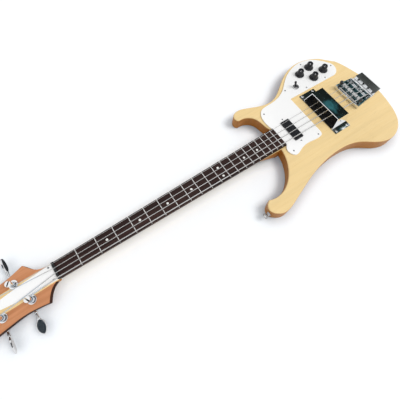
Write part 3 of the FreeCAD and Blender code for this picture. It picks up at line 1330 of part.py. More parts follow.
def write(parts):
    os.makedirs("parts", exist_ok=True)
    for name, shape in parts.items():
        shape.exportStep(os.path.join("parts", name + ".step"))


write(build())
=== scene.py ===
import json
import math

import bmesh
import bpy
from mathutils import Matrix, Vector, noise


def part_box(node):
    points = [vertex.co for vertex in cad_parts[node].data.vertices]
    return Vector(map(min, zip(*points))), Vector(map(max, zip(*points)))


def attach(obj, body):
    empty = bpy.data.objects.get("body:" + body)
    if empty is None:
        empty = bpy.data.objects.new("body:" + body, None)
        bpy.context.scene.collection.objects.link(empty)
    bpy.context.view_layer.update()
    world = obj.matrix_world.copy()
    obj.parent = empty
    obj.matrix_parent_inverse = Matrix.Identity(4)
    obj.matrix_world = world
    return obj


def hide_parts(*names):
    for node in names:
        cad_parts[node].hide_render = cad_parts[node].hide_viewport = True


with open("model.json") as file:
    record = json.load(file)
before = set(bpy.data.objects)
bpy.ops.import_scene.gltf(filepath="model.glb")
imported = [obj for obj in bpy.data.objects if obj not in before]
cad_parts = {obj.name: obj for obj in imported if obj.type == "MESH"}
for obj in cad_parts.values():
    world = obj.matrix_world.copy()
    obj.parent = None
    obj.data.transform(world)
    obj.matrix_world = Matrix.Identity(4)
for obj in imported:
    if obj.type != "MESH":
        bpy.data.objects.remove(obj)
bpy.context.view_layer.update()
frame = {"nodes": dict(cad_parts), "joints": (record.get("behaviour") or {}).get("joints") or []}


# Through neck and body wings. One long maple strip runs from head to tail and the two
# wings are glued to its sides; all of it is sanded, then sprayed with clear lacquer.
def finish(name, **sockets):
    """A new finish, with its even values set on the shader's own sockets."""
    material = bpy.data.materials.new(name)
    material.use_nodes = True
    shader = material.node_tree.nodes["Principled BSDF"]
    for socket, value in sockets.items():
        shader.inputs[socket.replace("_", " ")].default_value = value
    return material


def add(material, kind, sockets, **settings):
    """One more node in a finish; a socket takes a value or another node's output."""
    made = material.node_tree.nodes.new(kind)
    for name, value in settings.items():
        setattr(made, name, value)
    for name, value in sockets.items():
        if isinstance(value, bpy.types.NodeSocket):
            material.node_tree.links.new(value, made.inputs[name])
        else:
            made.inputs[name].default_value = value
    return made


def stretched(material, scale, shift=(0, 0, 0)):
    """The piece's own coordinates, pulled out and moved."""
    place = add(material, "ShaderNodeTexCoord", {}).outputs["Object"]
    sockets = {"Vector": place, "Scale": scale, "Location": shift}
    return add(material, "ShaderNodeMapping", sockets).outputs[0]


def speckle(material, scale, detail=4.0, distortion=0.0):
    """Noise pulled out along the axes that have a small scale."""
    sockets = {"Vector": stretched(material, scale), "Scale": 1.0, "Detail": detail, "Distortion": distortion}
    return add(material, "ShaderNodeTexNoise", sockets).outputs[0]


def grey(value):
    return (value, value, value)


def shades(material, share, *stops):
    """Colours along a pattern's share, each stop a place on it and a colour."""
    ramp = add(material, "ShaderNodeValToRGB", {"Fac": share})
    for stop in stops[2:]:
        ramp.color_ramp.elements.new(stop[0])
    for element, (place, colour) in zip(ramp.color_ramp.elements, stops):
        element.position = place
        element.color = (*colour, 1)
    return ramp.outputs[0]


def mixed(material, share, first, second, way="MIX"):
    """One colour laid over another; each is a value or another node's output."""
    under, over = [(*part, 1) if isinstance(part, tuple) else part for part in (first, second)]
    # By number, because the node repeats these names for other kinds of value.
    sockets = {0: share, 6: under, 7: over}
    return add(material, "ShaderNodeMix", sockets, data_type="RGBA", blend_type=way).outputs[2]


def feed(material, socket, source):
    shader = material.node_tree.nodes["Principled BSDF"]
    material.node_tree.links.new(source, shader.inputs[socket])


def rubbed(material, share, *stops):
    """Gloss that changes over the surface, each stop a place on the pattern and a roughness."""
    greys = [(place, grey(roughness)) for place, roughness in stops]
    feed(material, "Roughness", shades(material, share, *greys))


def relief(material, height, strength, depth):
    bump = add(material, "ShaderNodeBump", {"Height": height, "Strength": strength, "Distance": depth})
    feed(material, "Normal", bump.outputs[0])


def facing_up(material):
    """1 on faces that look up or down, 0 on walls, which take a darker colour, partly for end grain and
    partly as painted shade.
    """
    normal = add(material, "ShaderNodeNewGeometry", {}).outputs["Normal"]
    up = add(material, "ShaderNodeSeparateXYZ", {"Vector": normal}).outputs["Z"]
    flat = add(material, "ShaderNodeMath", {0: up}, operation="ABSOLUTE").outputs[0]
    return add(material, "ShaderNodeMapRange", {"Value": flat, "From Min": 0.25, "From Max": 0.85}).outputs[0]


def lacquered_wood(name, pale, dark, wall, ring_scale, shift, gloss=0.12):
    """Lengthways rings, streaks, clouds and pores under a clear coat; walls darker, part end grain, part
    painted shade.
    """
    ring_strength = 0.55
    cloud_strength = 0.8
    pore_strength = 0.5
    deep_wall = tuple(0.82 * part for part in wall)
    wood = finish(name, Coat_Weight=gloss, Coat_Roughness=0.14, Specular_IOR_Level=2.5 * gloss)
    ring_sockets = {"Vector": stretched(wood, (0.09, 1, 1), (0, shift, shift)), "Scale": ring_scale,
                    "Distortion": 5.0, "Detail": 3.0, "Detail Scale": 3.0}
    rings = add(wood, "ShaderNodeTexWave", ring_sockets, bands_direction="Y").outputs[1]
    streaks = speckle(wood, (4, 150, 150), detail=6.0)
    pores = speckle(wood, (45, 1100, 1100), detail=2.0)
    cloud = speckle(wood, (3, 9, 9), detail=2.0)
    colour = shades(wood, streaks, (0.25, dark), (0.62, pale))
    ring_marks = shades(wood, rings, (0.0, grey(0.94)), (0.35, grey(1.0)))
    colour = mixed(wood, ring_strength, colour, ring_marks, "MULTIPLY")
    cloud_marks = shades(wood, cloud, (0.3, grey(0.93)), (0.7, grey(1.04)))
    colour = mixed(wood, cloud_strength, colour, cloud_marks, "MULTIPLY")
    pore_marks = shades(wood, pores, (0.30, grey(0.80)), (0.40, grey(1.0)))
    colour = mixed(wood, pore_strength, colour, pore_marks, "MULTIPLY")
    # Painted shade on the walls, over darker end grain: their colour is set by the way the face turns.
    wall_grain_and_painted_shade = shades(wood, streaks, (0.25, deep_wall), (0.7, wall))
    feed(wood, "Base Color", mixed(wood, facing_up(wood), wall_grain_and_painted_shade, colour))
    rubbed(wood, cloud, (0.3, 0.34), (0.7, 0.46))
    relief(wood, pores, strength=0.10, depth=0.0002)
    return wood


def dress(material, *nodes):
    """Gives solids of the frame, which stay as they are, their finish."""
    for name in nodes:
        for slot in frame["nodes"][name].material_slots:
            slot.material = material


# The wall colours are darker than the faces, partly for end grain and partly as painted shade.
MAPLE_WALL = (0.45, 0.175, 0.024)
wing_maple = lacquered_wood("wing_maple", pale=(0.88, 0.665, 0.335), dark=(0.85, 0.625, 0.295),
                            wall=MAPLE_WALL, ring_scale=9.0, shift=0.13)
strip_maple = lacquered_wood("strip_maple", pale=(0.87, 0.655, 0.33), dark=(0.84, 0.61, 0.285),
                             wall=MAPLE_WALL, ring_scale=14.0, shift=0.41)
dress(wing_maple, "body_wing_treble", "body_wing_bass")
dress(strip_maple, "neck_core")


# Head wings. Two red-brown boards glued to the sides of the strip and sawn to the horned
# outline, with their outer edges eased; lacquered with the rest.
SAME_POINT = 1e-6
FLAT_ANGLE = math.radians(1.5)
EDGE_ANGLE = math.radians(28)
GLUE_MARGIN = 0.0001


def built(name, shape, material, body="instrument", crease=35):
    """A finished piece from its bmesh, riding on a body of the frame."""
    mesh = bpy.data.meshes.new(name)
    shape.to_mesh(mesh)
    shape.free()
    if "custom_normal" in mesh.attributes:
        mesh.attributes.remove(mesh.attributes["custom_normal"])
    mesh.materials.clear()
    mesh.materials.append(material)
    mesh.polygons.foreach_set("material_index", [0] * len(mesh.polygons))
    mesh.polygons.foreach_set("use_smooth", [True] * len(mesh.polygons))
    mesh.set_sharp_from_angle(angle=math.radians(crease))
    piece = bpy.data.objects.new(name, mesh)
    even = piece.modifiers.new("even", "WEIGHTED_NORMAL")
    even.keep_sharp = True
    bpy.context.scene.collection.objects.link(piece)
    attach(piece, body)
    return piece


def merged_copy(node):
    """A solid of the frame as a bmesh, its loose triangles joined into whole faces."""
    shape = bmesh.new()
    shape.from_mesh(frame["nodes"][node].data)
    bmesh.ops.remove_doubles(shape, verts=shape.verts, dist=SAME_POINT)
    bmesh.ops.dissolve_limit(shape, angle_limit=FLAT_ANGLE, verts=shape.verts, edges=shape.edges)
    return shape


def eased(node, material, width, steps=2, body="instrument", outside=None):
    """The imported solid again, with its sharp edges eased; outside picks the edges that are worked."""
    shape = merged_copy(node)
    shared = [edge for edge in shape.edges if len(edge.link_faces) == 2]
    sharp = [edge for edge in shared if edge.calc_face_angle() > EDGE_ANGLE]
    if outside:
        sharp = [edge for edge in sharp if all(outside(vert.co) for vert in edge.verts)]
    bmesh.ops.bevel(shape, geom=sharp, offset=width, offset_type="OFFSET", affect="EDGES", segments=steps,
                    profile=0.5, material=-1, clamp_overlap=True)
    piece = built(node + "_eased", shape, material, body)
    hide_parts(node)


# The head's walls are near black, partly for dark end grain and partly as painted shade.
head_brown = lacquered_wood("head_brown", pale=(0.64, 0.290, 0.145), dark=(0.50, 0.205, 0.090),
                            wall=(0.040, 0.010, 0.003), ring_scale=16.0, shift=0.77, gloss=0.02)
glue_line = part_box("headstock_wing_treble")[0].y + GLUE_MARGIN
for side in ("treble", "bass"):
    eased("headstock_wing_" + side, head_brown, width=0.0009, steps=3,
          outside=lambda point: abs(point.y) > glue_line)


# Fretboard, frets, dots and nut. A dark open-grained board is glued on the neck, slotted for
# nickel frets that are hammered in, and drilled for pale dots; the nut is a dark moulding.
def tinted(material, share, *stops):
    """Colour that changes over the surface, each stop a place on the pattern and a colour."""
    feed(material, "Base Color", shades(material, share, *stops))


rosewood = finish("rosewood", Specular_IOR_Level=0.18)
board_streaks = speckle(rosewood, (9, 260, 260), detail=6.0)
board_pores = speckle(rosewood, (90, 1500, 1500), detail=2.0)
board_bands = speckle(rosewood, (2.5, 60, 60), detail=3.0)
board_colour = shades(rosewood, board_streaks, (0.3, (0.014, 0.007, 0.0065)), (0.7, (0.046, 0.022, 0.0185)))
band_marks = shades(rosewood, board_bands, (0.3, grey(0.75)), (0.7, grey(1.25)))
board_colour = mixed(rosewood, 1.0, board_colour, band_marks, "MULTIPLY")
pore_marks = shades(rosewood, board_pores, (0.32, grey(0.35)), (0.42, grey(1.0)))
feed(rosewood, "Base Color", mixed(rosewood, 0.8, board_colour, pore_marks, "MULTIPLY"))
rubbed(rosewood, board_pores, (0.3, 0.7), (0.5, 0.5))
relief(rosewood, board_pores, strength=0.25, depth=0.0002)
dress(rosewood, "fretboard")

nickel = finish("nickel", Base_Color=(0.90, 0.895, 0.88, 1), Metallic=1.0)
rubbed(nickel, speckle(nickel, (700, 40, 700), detail=3.0), (0.3, 0.18), (0.7, 0.34))
relief(nickel, speckle(nickel, (2500, 60, 900), detail=2.0), strength=0.06, depth=0.0001)
dress(nickel, "frets")

pearl = finish("pearl", Roughness=0.22, Coat_Weight=0.5, Coat_Roughness=0.08)
pearl_swirl = speckle(pearl, (500, 700, 500), detail=3.0, distortion=2.5)
tinted(pearl, pearl_swirl, (0.3, (0.74, 0.73, 0.68)), (0.55, (0.90, 0.90, 0.87)), (0.75, (0.80, 0.84, 0.86)))
dress(pearl, "position_dots")

nut_black = finish("nut_black", Base_Color=(0.012, 0.012, 0.013, 1), IOR=1.5)
rubbed(nut_black, speckle(nut_black, (600, 250, 600), detail=3.0), (0.3, 0.32), (0.7, 0.5))
relief(nut_black, speckle(nut_black, (900, 900, 900), detail=2.0), strength=0.05, depth=0.0001)
eased("nut", nut_black, width=0.0004)


# Truss rod, its nut and the cover over them. The rod lies in a bore under the board; the white
# sheet-plastic cover is sawn out, polished and held by three screws.
plain_steel = finish("plain_steel", Metallic=1.0)
steel_tone = speckle(plain_steel, (120, 900, 900))
tinted(plain_steel, steel_tone, (0.3, (0.33, 0.33, 0.34)), (0.7, (0.50, 0.50, 0.51)))
rubbed(plain_steel, steel_tone, (0.3, 0.28), (0.7, 0.48))
dress(plain_steel, "truss_rod", "truss_rod_nut", "small_screws")

white_sheet = finish("white_sheet", Coat_Weight=0.4, Coat_Roughness=0.06, IOR=1.5)
sheet_cloud = speckle(white_sheet, (14, 14, 14), detail=3.0)
sheet_marks = speckle(white_sheet, (220, 1400, 1400), detail=3.0)
tinted(white_sheet, sheet_cloud, (0.3, (0.945, 0.95, 0.95)), (0.7, (0.965, 0.965, 0.96)))
rubbed(white_sheet, sheet_marks, (0.35, 0.16), (0.75, 0.30))
relief(white_sheet, sheet_marks, strength=0.02, depth=0.0001)
eased("truss_rod_cover", white_sheet, width=0.0006, steps=3)


# Tuners. On each a plated bush sits in the head's face, a slotted post turns in it with a wheel
# on its foot, and a worm on the key's shaft drives the wheel on a plate screwed to the back.
chrome = finish("chrome", Metallic=1.0)
# Painted shade: in recesses the plating's colour falls to a near-black teal, found by occlusion.
painted_recess_shade = add(chrome, "ShaderNodeAmbientOcclusion", {"Distance": 0.005}, samples=8).outputs["AO"]
tinted(chrome, painted_recess_shade, (0.36, (0.040, 0.056, 0.060)), (0.74, (0.86, 0.87, 0.88)))
smudges = speckle(chrome, (60, 60, 60), distortion=0.6)
rubbed(chrome, smudges, (0.35, 0.02), (0.75, 0.06))
relief(chrome, speckle(chrome, (45, 45, 45), detail=0.0), strength=0.06, depth=0.0008)
eased("tuner_bushes", chrome, width=0.0006, steps=3)
eased("tuner_plates", chrome, width=0.0003)

worn_chrome = finish("worn_chrome", Metallic=1.0)
wear = speckle(worn_chrome, (320, 320, 320))
tinted(worn_chrome, wear, (0.35, (0.70, 0.715, 0.735)), (0.65, (0.78, 0.79, 0.81)))
rubbed(worn_chrome, wear, (0.35, 0.15), (0.65, 0.08))
relief(worn_chrome, speckle(worn_chrome, (240, 240, 240), detail=3.0), strength=0.045, depth=0.0005)

# Turned lines are in millimetres, radius first and then the way along the axis. The shaft's end
# and the worm are measured from the post, the bead and the stem from the middle of the head.
MM = 0.001
KEY_ANGLES = {"e": 8, "a": 110, "d": 35, "g": 97}
SHAFT_END = [(0, -9.5), (2.0, -9.5), (2.0, -6.6)]
WORM_START = -6.5
WORM_RINGS = 10
RING_PITCH = 1.3
WORM_RING = [(2.1, 0.0), (2.6, 0.4), (2.6, 0.8), (2.1, 1.2)]
BEAD = [(2.0, 47.0), (2.9, 47.1), (3.4, 47.8), (3.4, 49.1), (2.9, 49.9), (2.1, 50.0)]
STEM = [(2.0, 50.5), (2.5, 55.0), (3.0, 59.0), (3.4, 61.8), (3.1, 63.5), (2.0, 65.5), (0, 66.5)]
LEAF_START = 0.062
LEAF_LENGTH = 0.035
LEAF_HALF = 0.010
LEAF_RIM = 0.0022
LEAF_TIP = 0.0012
LEVEL_FACE = 0.9
BLANK_LEAST = 1e-3
LEAF_CROWN = [(0.05, 0.0007), (0.08, 0.0004), (0.12, 0.0001)]
LEAF_WIDTHS = [(0.0, 0.32), (0.1, 0.5), (0.22, 0.8), (0.36, 0.96), (0.5, 1.0), (0.66, 0.95), (0.82, 0.72),
               (0.93, 0.42), (1.0, 0.0)]
pivots = {joint["child"]: joint for joint in frame["joints"]}


def settle_faces(shape):
    """Spin and extrude list their faces in another order each run; this lists them by their points."""
    shape.verts.index_update()
    in_order = sorted(shape.faces, key=lambda face: sorted(vert.index for vert in face.verts))
    for place, face in enumerate(in_order):
        face.index = place
    shape.faces.sort()


def lathe(profile, steps):
    """A turned shape: a line of radius and height spun once round the upright axis."""
    shape = bmesh.new()
    line = [shape.verts.new((radius * MM, 0, height * MM)) for radius, height in profile]
    edges = [shape.edges.new(pair) for pair in zip(line, line[1:])]
    bmesh.ops.spin(shape, geom=line + edges, cent=(0, 0, 0), axis=(0, 0, 1), angle=2 * math.pi, steps=steps,
                   use_merge=True)
    bmesh.ops.remove_doubles(shape, verts=shape.verts, dist=SAME_POINT)
    bmesh.ops.recalc_face_normals(shape, faces=shape.faces)
    settle_faces(shape)
    return shape


def leaf_width(share):
    """Half the leaf's width at a share of its length, flowing from one given width to the next."""
    for (near, first), (far, last) in zip(LEAF_WIDTHS, LEAF_WIDTHS[1:]):
        if near <= share <= far:
            step = (share - near) / (far - near)
            return LEAF_HALF * (first + (last - first) * step * step * (3 - 2 * step))
    return 0.0


def key_leaf():
    """The pressed leaf: a round blank with a crown on both faces, drawn out to the outline."""
    shape = bmesh.new()
    bmesh.ops.create_circle(shape, cap_ends=True, segments=56, radius=1.0)
    raised = bmesh.ops.extrude_face_region(shape, geom=list(shape.faces), use_keep_orig=True)
    lifted = [part for part in raised["geom"] if isinstance(part, bmesh.types.BMVert)]
    bmesh.ops.translate(shape, vec=(0, 0, LEAF_RIM), verts=lifted)
    bmesh.ops.recalc_face_normals(shape, faces=shape.faces)
    for face in [face for face in shape.faces if abs(face.normal.z) > LEVEL_FACE]:
        for inward, rise in LEAF_CROWN:
            bmesh.ops.inset_region(shape, faces=[face], thickness=inward, depth=rise, use_even_offset=True)
    for vert in shape.verts:
        share = (1 + vert.co.y) / 2
        half = max(leaf_width(share), LEAF_TIP)
        blank_half = max(math.sqrt(max(0.0, 1 - vert.co.y ** 2)), BLANK_LEAST)
        across = half * vert.co.x / blank_half
        vert.co = Vector((across, LEAF_START + LEAF_LENGTH * share, vert.co.z - LEAF_RIM / 2))
    settle_faces(shape)
    leaf = bpy.data.meshes.new("leaf")
    shape.to_mesh(leaf)
    shape.free()
    return leaf


leaf = key_leaf()
for name, angle in KEY_ANGLES.items():
    x, y, z = pivots["tuner_key_" + name]["pos_m"]
    post_axis = pivots["tuner_post_" + name]["axis"]
    head_tilt = math.atan2(post_axis[0], post_axis[2])
    post = abs(y) / MM
    shaft = [(radius, post + along) for radius, along in SHAFT_END]
    for turn in range(WORM_RINGS):
        start = post + WORM_START + RING_PITCH * turn
        shaft += [(radius, start + along) for radius, along in WORM_RING]
    turned = lathe(shaft + BEAD + STEM, steps=32)
    bmesh.ops.rotate(turned, cent=(0, 0, 0), matrix=Matrix.Rotation(-math.pi / 2, 3, "X"), verts=turned.verts)
    turned.from_mesh(leaf)
    place = (Matrix.Translation((x, 0, z)) @ Matrix.Rotation(head_tilt + math.radians(angle), 4, "Y")
             @ Matrix.Rotation(0 if y > 0 else math.pi, 4, "Z"))
    bmesh.ops.transform(turned, matrix=place, verts=turned.verts)
    key = built("key_" + name, turned, worn_chrome, "tuner_key_" + name)
    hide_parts("tuner_key_" + name)
    eased("tuner_post_" + name, chrome, width=0.0007, steps=3, body="tuner_post_" + name)
bpy.data.meshes.remove(leaf)


# Pickguard. White sheet plastic sawn to the outline, drilled for the controls, and screwed to
# the face; its rim is scraped to a soft edge.
eased("pickguard", white_sheet, width=0.0008, steps=3)


# Neck pickup. A moulded black shell over a wound coil, with four steel pole pieces through its
# top and two height screws beside it.
black_moulding = finish("black_moulding", Base_Color=(0.006, 0.007, 0.010, 1), Specular_IOR_Level=0.3,
                        Coat_Weight=0.12, Coat_Roughness=0.1)
rubbed(black_moulding, speckle(black_moulding, (160, 160, 160)), (0.3, 0.18), (0.75, 0.36))
relief(black_moulding, speckle(black_moulding, (900, 900, 900), detail=2.0), strength=0.04, depth=0.0001)
eased("neck_pickup_cover", black_moulding, width=0.0009, steps=3)

dark_steel = finish("dark_steel", Metallic=1.0)
pole_tone = speckle(dark_steel, (900, 900, 900), detail=3.0)
tinted(dark_steel, pole_tone, (0.3, (0.045, 0.047, 0.052)), (0.7, (0.085, 0.088, 0.095)))
rubbed(dark_steel, pole_tone, (0.3, 0.30), (0.7, 0.45))
dress(dark_steel, "neck_pickup_poles")
dress(chrome, "neck_pickup_screws")

coil_tape = finish("coil_tape", Roughness=0.75)
tape_threads = speckle(coil_tape, (300, 300, 2500), detail=3.0)
tinted(coil_tape, tape_threads, (0.3, grey(0.012)), (0.7, grey(0.035)))
dress(coil_tape, "neck_pickup_coil")


# Bridge pickup and its raised cover. A black bobbin with steel poles lies in the face; the cover
# is one bent and plated sheet, an arch on a flat frame held by four screws.
bobbin_black = finish("bobbin_black", Base_Color=(0.004, 0.004, 0.005, 1), Specular_IOR_Level=0.12)
rubbed(bobbin_black, speckle(bobbin_black, (300, 300, 300), detail=3.0), (0.3, 0.45), (0.7, 0.65))
eased("bridge_pickup_bobbin", bobbin_black, width=0.0006)
dress(dark_steel, "bridge_pickup_poles")
eased("bridge_pickup_cover", chrome, width=0.0005)
dress(chrome, "large_screws")


# Controls. Four potentiometers and a switch hang under the pickguard on nuts; the skirted black
# knobs are moulded, fluted round the cap, and marked with one pale line.
pot_metal = finish("pot_metal", Metallic=1.0)
pot_tone = speckle(pot_metal, (400, 400, 60))
tinted(pot_metal, pot_tone, (0.3, (0.48, 0.47, 0.44)), (0.7, (0.66, 0.65, 0.62)))
rubbed(pot_metal, pot_tone, (0.3, 0.3), (0.7, 0.48))
dress(pot_metal, "pot_cases")
eased("control_nuts", chrome, width=0.0004)
dress(plain_steel, "switch_frame")
dress(chrome, "switch_lever")
dress(black_moulding, "switch_tip")

# The knob's line is turned as the tuner's are, with its heights above the pickguard.
KNOB_LINE = [(0, 4.0), (7.4, 4.0), (7.4, 0.8), (12.5, 0.8), (13.0, 1.2), (12.9, 1.8), (12.0, 3.2),
             (11.0, 4.2), (10.1, 4.9), (9.2, 5.4), (8.8, 6.0), (8.6, 9.0), (8.4, 12.0), (8.1, 14.7),
             (7.8, 15.5), (7.2, 16.0), (6.6, 15.9), (6.2, 15.6), (3.0, 15.5), (0, 15.5)]
FLUTES = 20
FLUTE_DEPTH = 0.035
MARK_SIZE = (0.0052, 0.0009, 0.0005)
MARK_EDGE = 0.00012
MARK_PLACE = (0.0036, 0, 0.0155)
MARK_ANGLE = math.radians(215)
knob_mark = finish("knob_line", Roughness=0.45)
tinted(knob_mark, speckle(knob_mark, (900, 900, 900), detail=3.0), (0.3, grey(0.70)), (0.7, grey(0.86)))


def fluted(shape, count, depth, low, high, beyond):
    """Draws in the rim of a turned shape in round grooves, between two heights and past a radius."""
    for vert in shape.verts:
        if low < vert.co.z < high and vert.co.xy.length > beyond:
            groove = max(0.0, math.cos(count * math.atan2(vert.co.y, vert.co.x)))
            vert.co.xy *= 1 - depth * groove


for name in ("neck_volume_knob", "neck_tone_knob", "bridge_volume_knob", "bridge_tone_knob"):
    place = pivots[name]["pos_m"]
    knob = lathe(KNOB_LINE, steps=FLUTES * 6)
    fluted(knob, FLUTES, FLUTE_DEPTH, low=0.0059, high=0.0149, beyond=0.0078)
    bmesh.ops.translate(knob, vec=place, verts=knob.verts)
    cap = built(name + "_cap", knob, black_moulding, name, crease=50)
    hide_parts(name)
    mark = bmesh.new()
    bmesh.ops.create_cube(mark, size=1.0)
    bmesh.ops.scale(mark, vec=MARK_SIZE, verts=mark.verts)
    bmesh.ops.bevel(mark, geom=list(mark.edges), offset=MARK_EDGE, offset_type="OFFSET", affect="EDGES",
                    segments=2, profile=0.5, material=-1)
    bmesh.ops.translate(mark, vec=MARK_PLACE, verts=mark.verts)
    bmesh.ops.rotate(mark, cent=(0, 0, 0), matrix=Matrix.Rotation(MARK_ANGLE, 3, "Z"), verts=mark.verts)
    bmesh.ops.translate(mark, vec=place, verts=mark.verts)
    built(name + "_line", mark, knob_mark, name)


# Output jack. A plated plate in a flat on the rim holds the socket with a nut and four screws;
# the plate's sharp edges are eased.
eased("jack_plate", chrome, width=0.0005, steps=3)
dress(chrome, "jack_socket")


# Tailpiece and bridge. One plated casting takes the strings in a slotted comb; on its floor a
# plated frame carries four satin saddles that screws move along. The frame's colour is a painted
# dark teal reflection, darker still in its hollows as painted shade.
eased("tailpiece", chrome, width=0.0007, steps=3)

frame_painted_shade_and_reflection = finish("frame_painted_shade_and_reflection", Metallic=1.0)
# Painted reflection and shade: the frame is coloured a dark teal, near black in its hollows by occlusion.
painted_hollow_shade = add(frame_painted_shade_and_reflection, "ShaderNodeAmbientOcclusion", {"Distance": 0.004}, samples=8).outputs["AO"]
tinted(frame_painted_shade_and_reflection, painted_hollow_shade, (0.30, (0.018, 0.030, 0.032)), (0.85, (0.17, 0.26, 0.275)))
rubbed(frame_painted_shade_and_reflection, speckle(frame_painted_shade_and_reflection, (300, 300, 300), detail=3.0), (0.35, 0.06), (0.7, 0.14))
eased("bridge_frame", frame_painted_shade_and_reflection, width=0.0003, steps=3)
dress(frame_painted_shade_and_reflection, "saddle_screws")

satin_plate = finish("satin_plate", Base_Color=(0.86, 0.86, 0.85, 1), Metallic=1.0)
brushing = speckle(satin_plate, (420, 420, 420))
rubbed(satin_plate, brushing, (0.35, 0.30), (0.65, 0.48))
relief(satin_plate, brushing, strength=0.12, depth=0.0004)
for name in "eadg":
    eased("saddle_" + name, satin_plate, width=0.0004, body="saddle_" + name)


# String mute. A bar with a strip of grey foam lies before the saddles; two thumbscrews with
# knurled heads lift it against the strings.
eased("mute_bar", satin_plate, width=0.0003, body="mute")

foam_grey = finish("foam_grey", Roughness=0.95, Sheen_Weight=0.3, Sheen_Roughness=0.6)
cell_sockets = {"Vector": stretched(foam_grey, (900, 900, 900)), "Scale": 1.0}
cells = add(foam_grey, "ShaderNodeTexVoronoi", cell_sockets).outputs[0]
tinted(foam_grey, cells, (0.15, (0.60, 0.59, 0.56)), (0.75, (0.16, 0.16, 0.155)))
relief(foam_grey, cells, strength=0.6, depth=0.0003)

FOAM_LONG_EDGE = 0.01
FOAM_CROSS_EDGE = 0.001
FOAM_CROWN = 0.0005
FOAM_PITS = 0.00025
PIT_SCALE = 300
FOAM_PULL = 0.04
PULL_SCALE = 180
PULL_SHIFT = Vector((7, 3, 1))
low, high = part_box("mute_foam")
size = high - low
centre = (low + high) / 2
foam = bmesh.new()
bmesh.ops.create_cube(foam, size=1.0)
bmesh.ops.scale(foam, vec=size, verts=foam.verts)
long_edges = [edge for edge in foam.edges
              if abs(edge.verts[0].co.y - edge.verts[1].co.y) > FOAM_LONG_EDGE]
bmesh.ops.subdivide_edges(foam, edges=long_edges, cuts=48, use_grid_fill=True)
cross_edges = [edge for edge in foam.edges
               if abs(edge.verts[0].co.x - edge.verts[1].co.x) > FOAM_CROSS_EDGE]
bmesh.ops.subdivide_edges(foam, edges=cross_edges, cuts=4, use_grid_fill=True)
bmesh.ops.translate(foam, vec=centre, verts=foam.verts)
for vert in foam.verts:
    outward = abs(vert.co.x - centre.x) / (size.x / 2)
    if vert.co.z > centre.z:
        vert.co.z -= FOAM_CROWN * outward ** 2 + FOAM_PITS * abs(noise.noise(vert.co * PIT_SCALE))
    pull = FOAM_PULL * abs(noise.noise(vert.co * PULL_SCALE + PULL_SHIFT))
    vert.co.x += (centre.x - vert.co.x) * pull
foam_strip = built("foam_strip", foam, foam_grey, "mute", crease=60)
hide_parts("mute_foam")

# The thumbscrew's line has its heights from the underside of the head.
THUMB_LINE = [(0, -22.0), (1.5, -22.0), (1.5, -0.1), (3.0, 0.0), (3.9, 0.2), (4.2, 0.6), (4.2, 2.2),
              (4.2, 4.2), (3.9, 4.7), (3.0, 5.0), (1.0, 4.9), (0, 4.9)]
KNURLS = 24
KNURL_DEPTH = 0.05
for side in ("treble", "bass"):
    screw = lathe(THUMB_LINE, steps=KNURLS * 4)
    fluted(screw, KNURLS, KNURL_DEPTH, low=0.0004, high=0.0044, beyond=0.004)
    bmesh.ops.translate(screw, vec=pivots["mute_thumbscrew_" + side]["pos_m"], verts=screw.verts)
    thumb = built("thumbscrew_" + side, screw, dark_steel, "mute_thumbscrew_" + side, crease=50)
    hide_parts("mute_thumbscrew_" + side)


# Strings. Steel cores wound with nickel wire, hooked by their balls behind the comb and wrapped
# round the posts; the winding shows as fine rings, and silk covers the end beyond the nut.
SILK_FROM_NUT = 0.0314
SILK_EDGE = 0.005
wound_wire = finish("wound_wire", IOR=1.5)
along = add(wound_wire, "ShaderNodeTexCoord", {}).outputs["Object"]
east = add(wound_wire, "ShaderNodeSeparateXYZ", {"Vector": along}).outputs["X"]
silk_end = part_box("nut")[0].x - SILK_FROM_NUT
bare_sockets = {"Value": east, "From Min": silk_end - SILK_EDGE, "From Max": silk_end}
bare = add(wound_wire, "ShaderNodeMapRange", bare_sockets).outputs[0]
ring_sockets = {"Vector": along, "Scale": 520.0}
rings = add(wound_wire, "ShaderNodeTexWave", ring_sockets, bands_direction="X").outputs[1]
tarnish = speckle(wound_wire, (40, 300, 300), detail=3.0)
threads = speckle(wound_wire, (1500, 1500, 1500), detail=2.0)
silk = shades(wound_wire, threads, (0.3, (0.44, 0.49, 0.55)), (0.7, (0.60, 0.65, 0.70)))
wire = shades(wound_wire, tarnish, (0.3, (0.54, 0.54, 0.535)), (0.7, (0.66, 0.66, 0.655)))
wire_gloss = shades(wound_wire, tarnish, (0.3, grey(0.09)), (0.7, grey(0.17)))
feed(wound_wire, "Base Color", mixed(wound_wire, bare, silk, wire))
feed(wound_wire, "Metallic", bare)
feed(wound_wire, "Roughness", mixed(wound_wire, bare, grey(0.6), wire_gloss))
relief(wound_wire, rings, strength=0.12, depth=0.0002)
dress(wound_wire, *["string_" + name for name in "eadg"])


# Strap buttons. Turned, plated and worn dull, one screwed to the tip of the long horn and one
# to the tail; their edges are rounded over.
eased("strap_buttons", plain_steel, width=0.0005, steps=3)


# Ground, light and camera. The instrument lies on its back on white paper under a broad lamp;
# dark boards and mottled slats, seen in reflections alone, give the plating something to mirror.
GROUND_SIDE = 12.0
GROUND_DROP = 0.0004
CAMERA_LIFT = 0.12
ground_white = finish("ground_white", Roughness=0.9, Specular_IOR_Level=0.1,
                      Emission_Color=(0.45, 0.72, 1.0, 1))
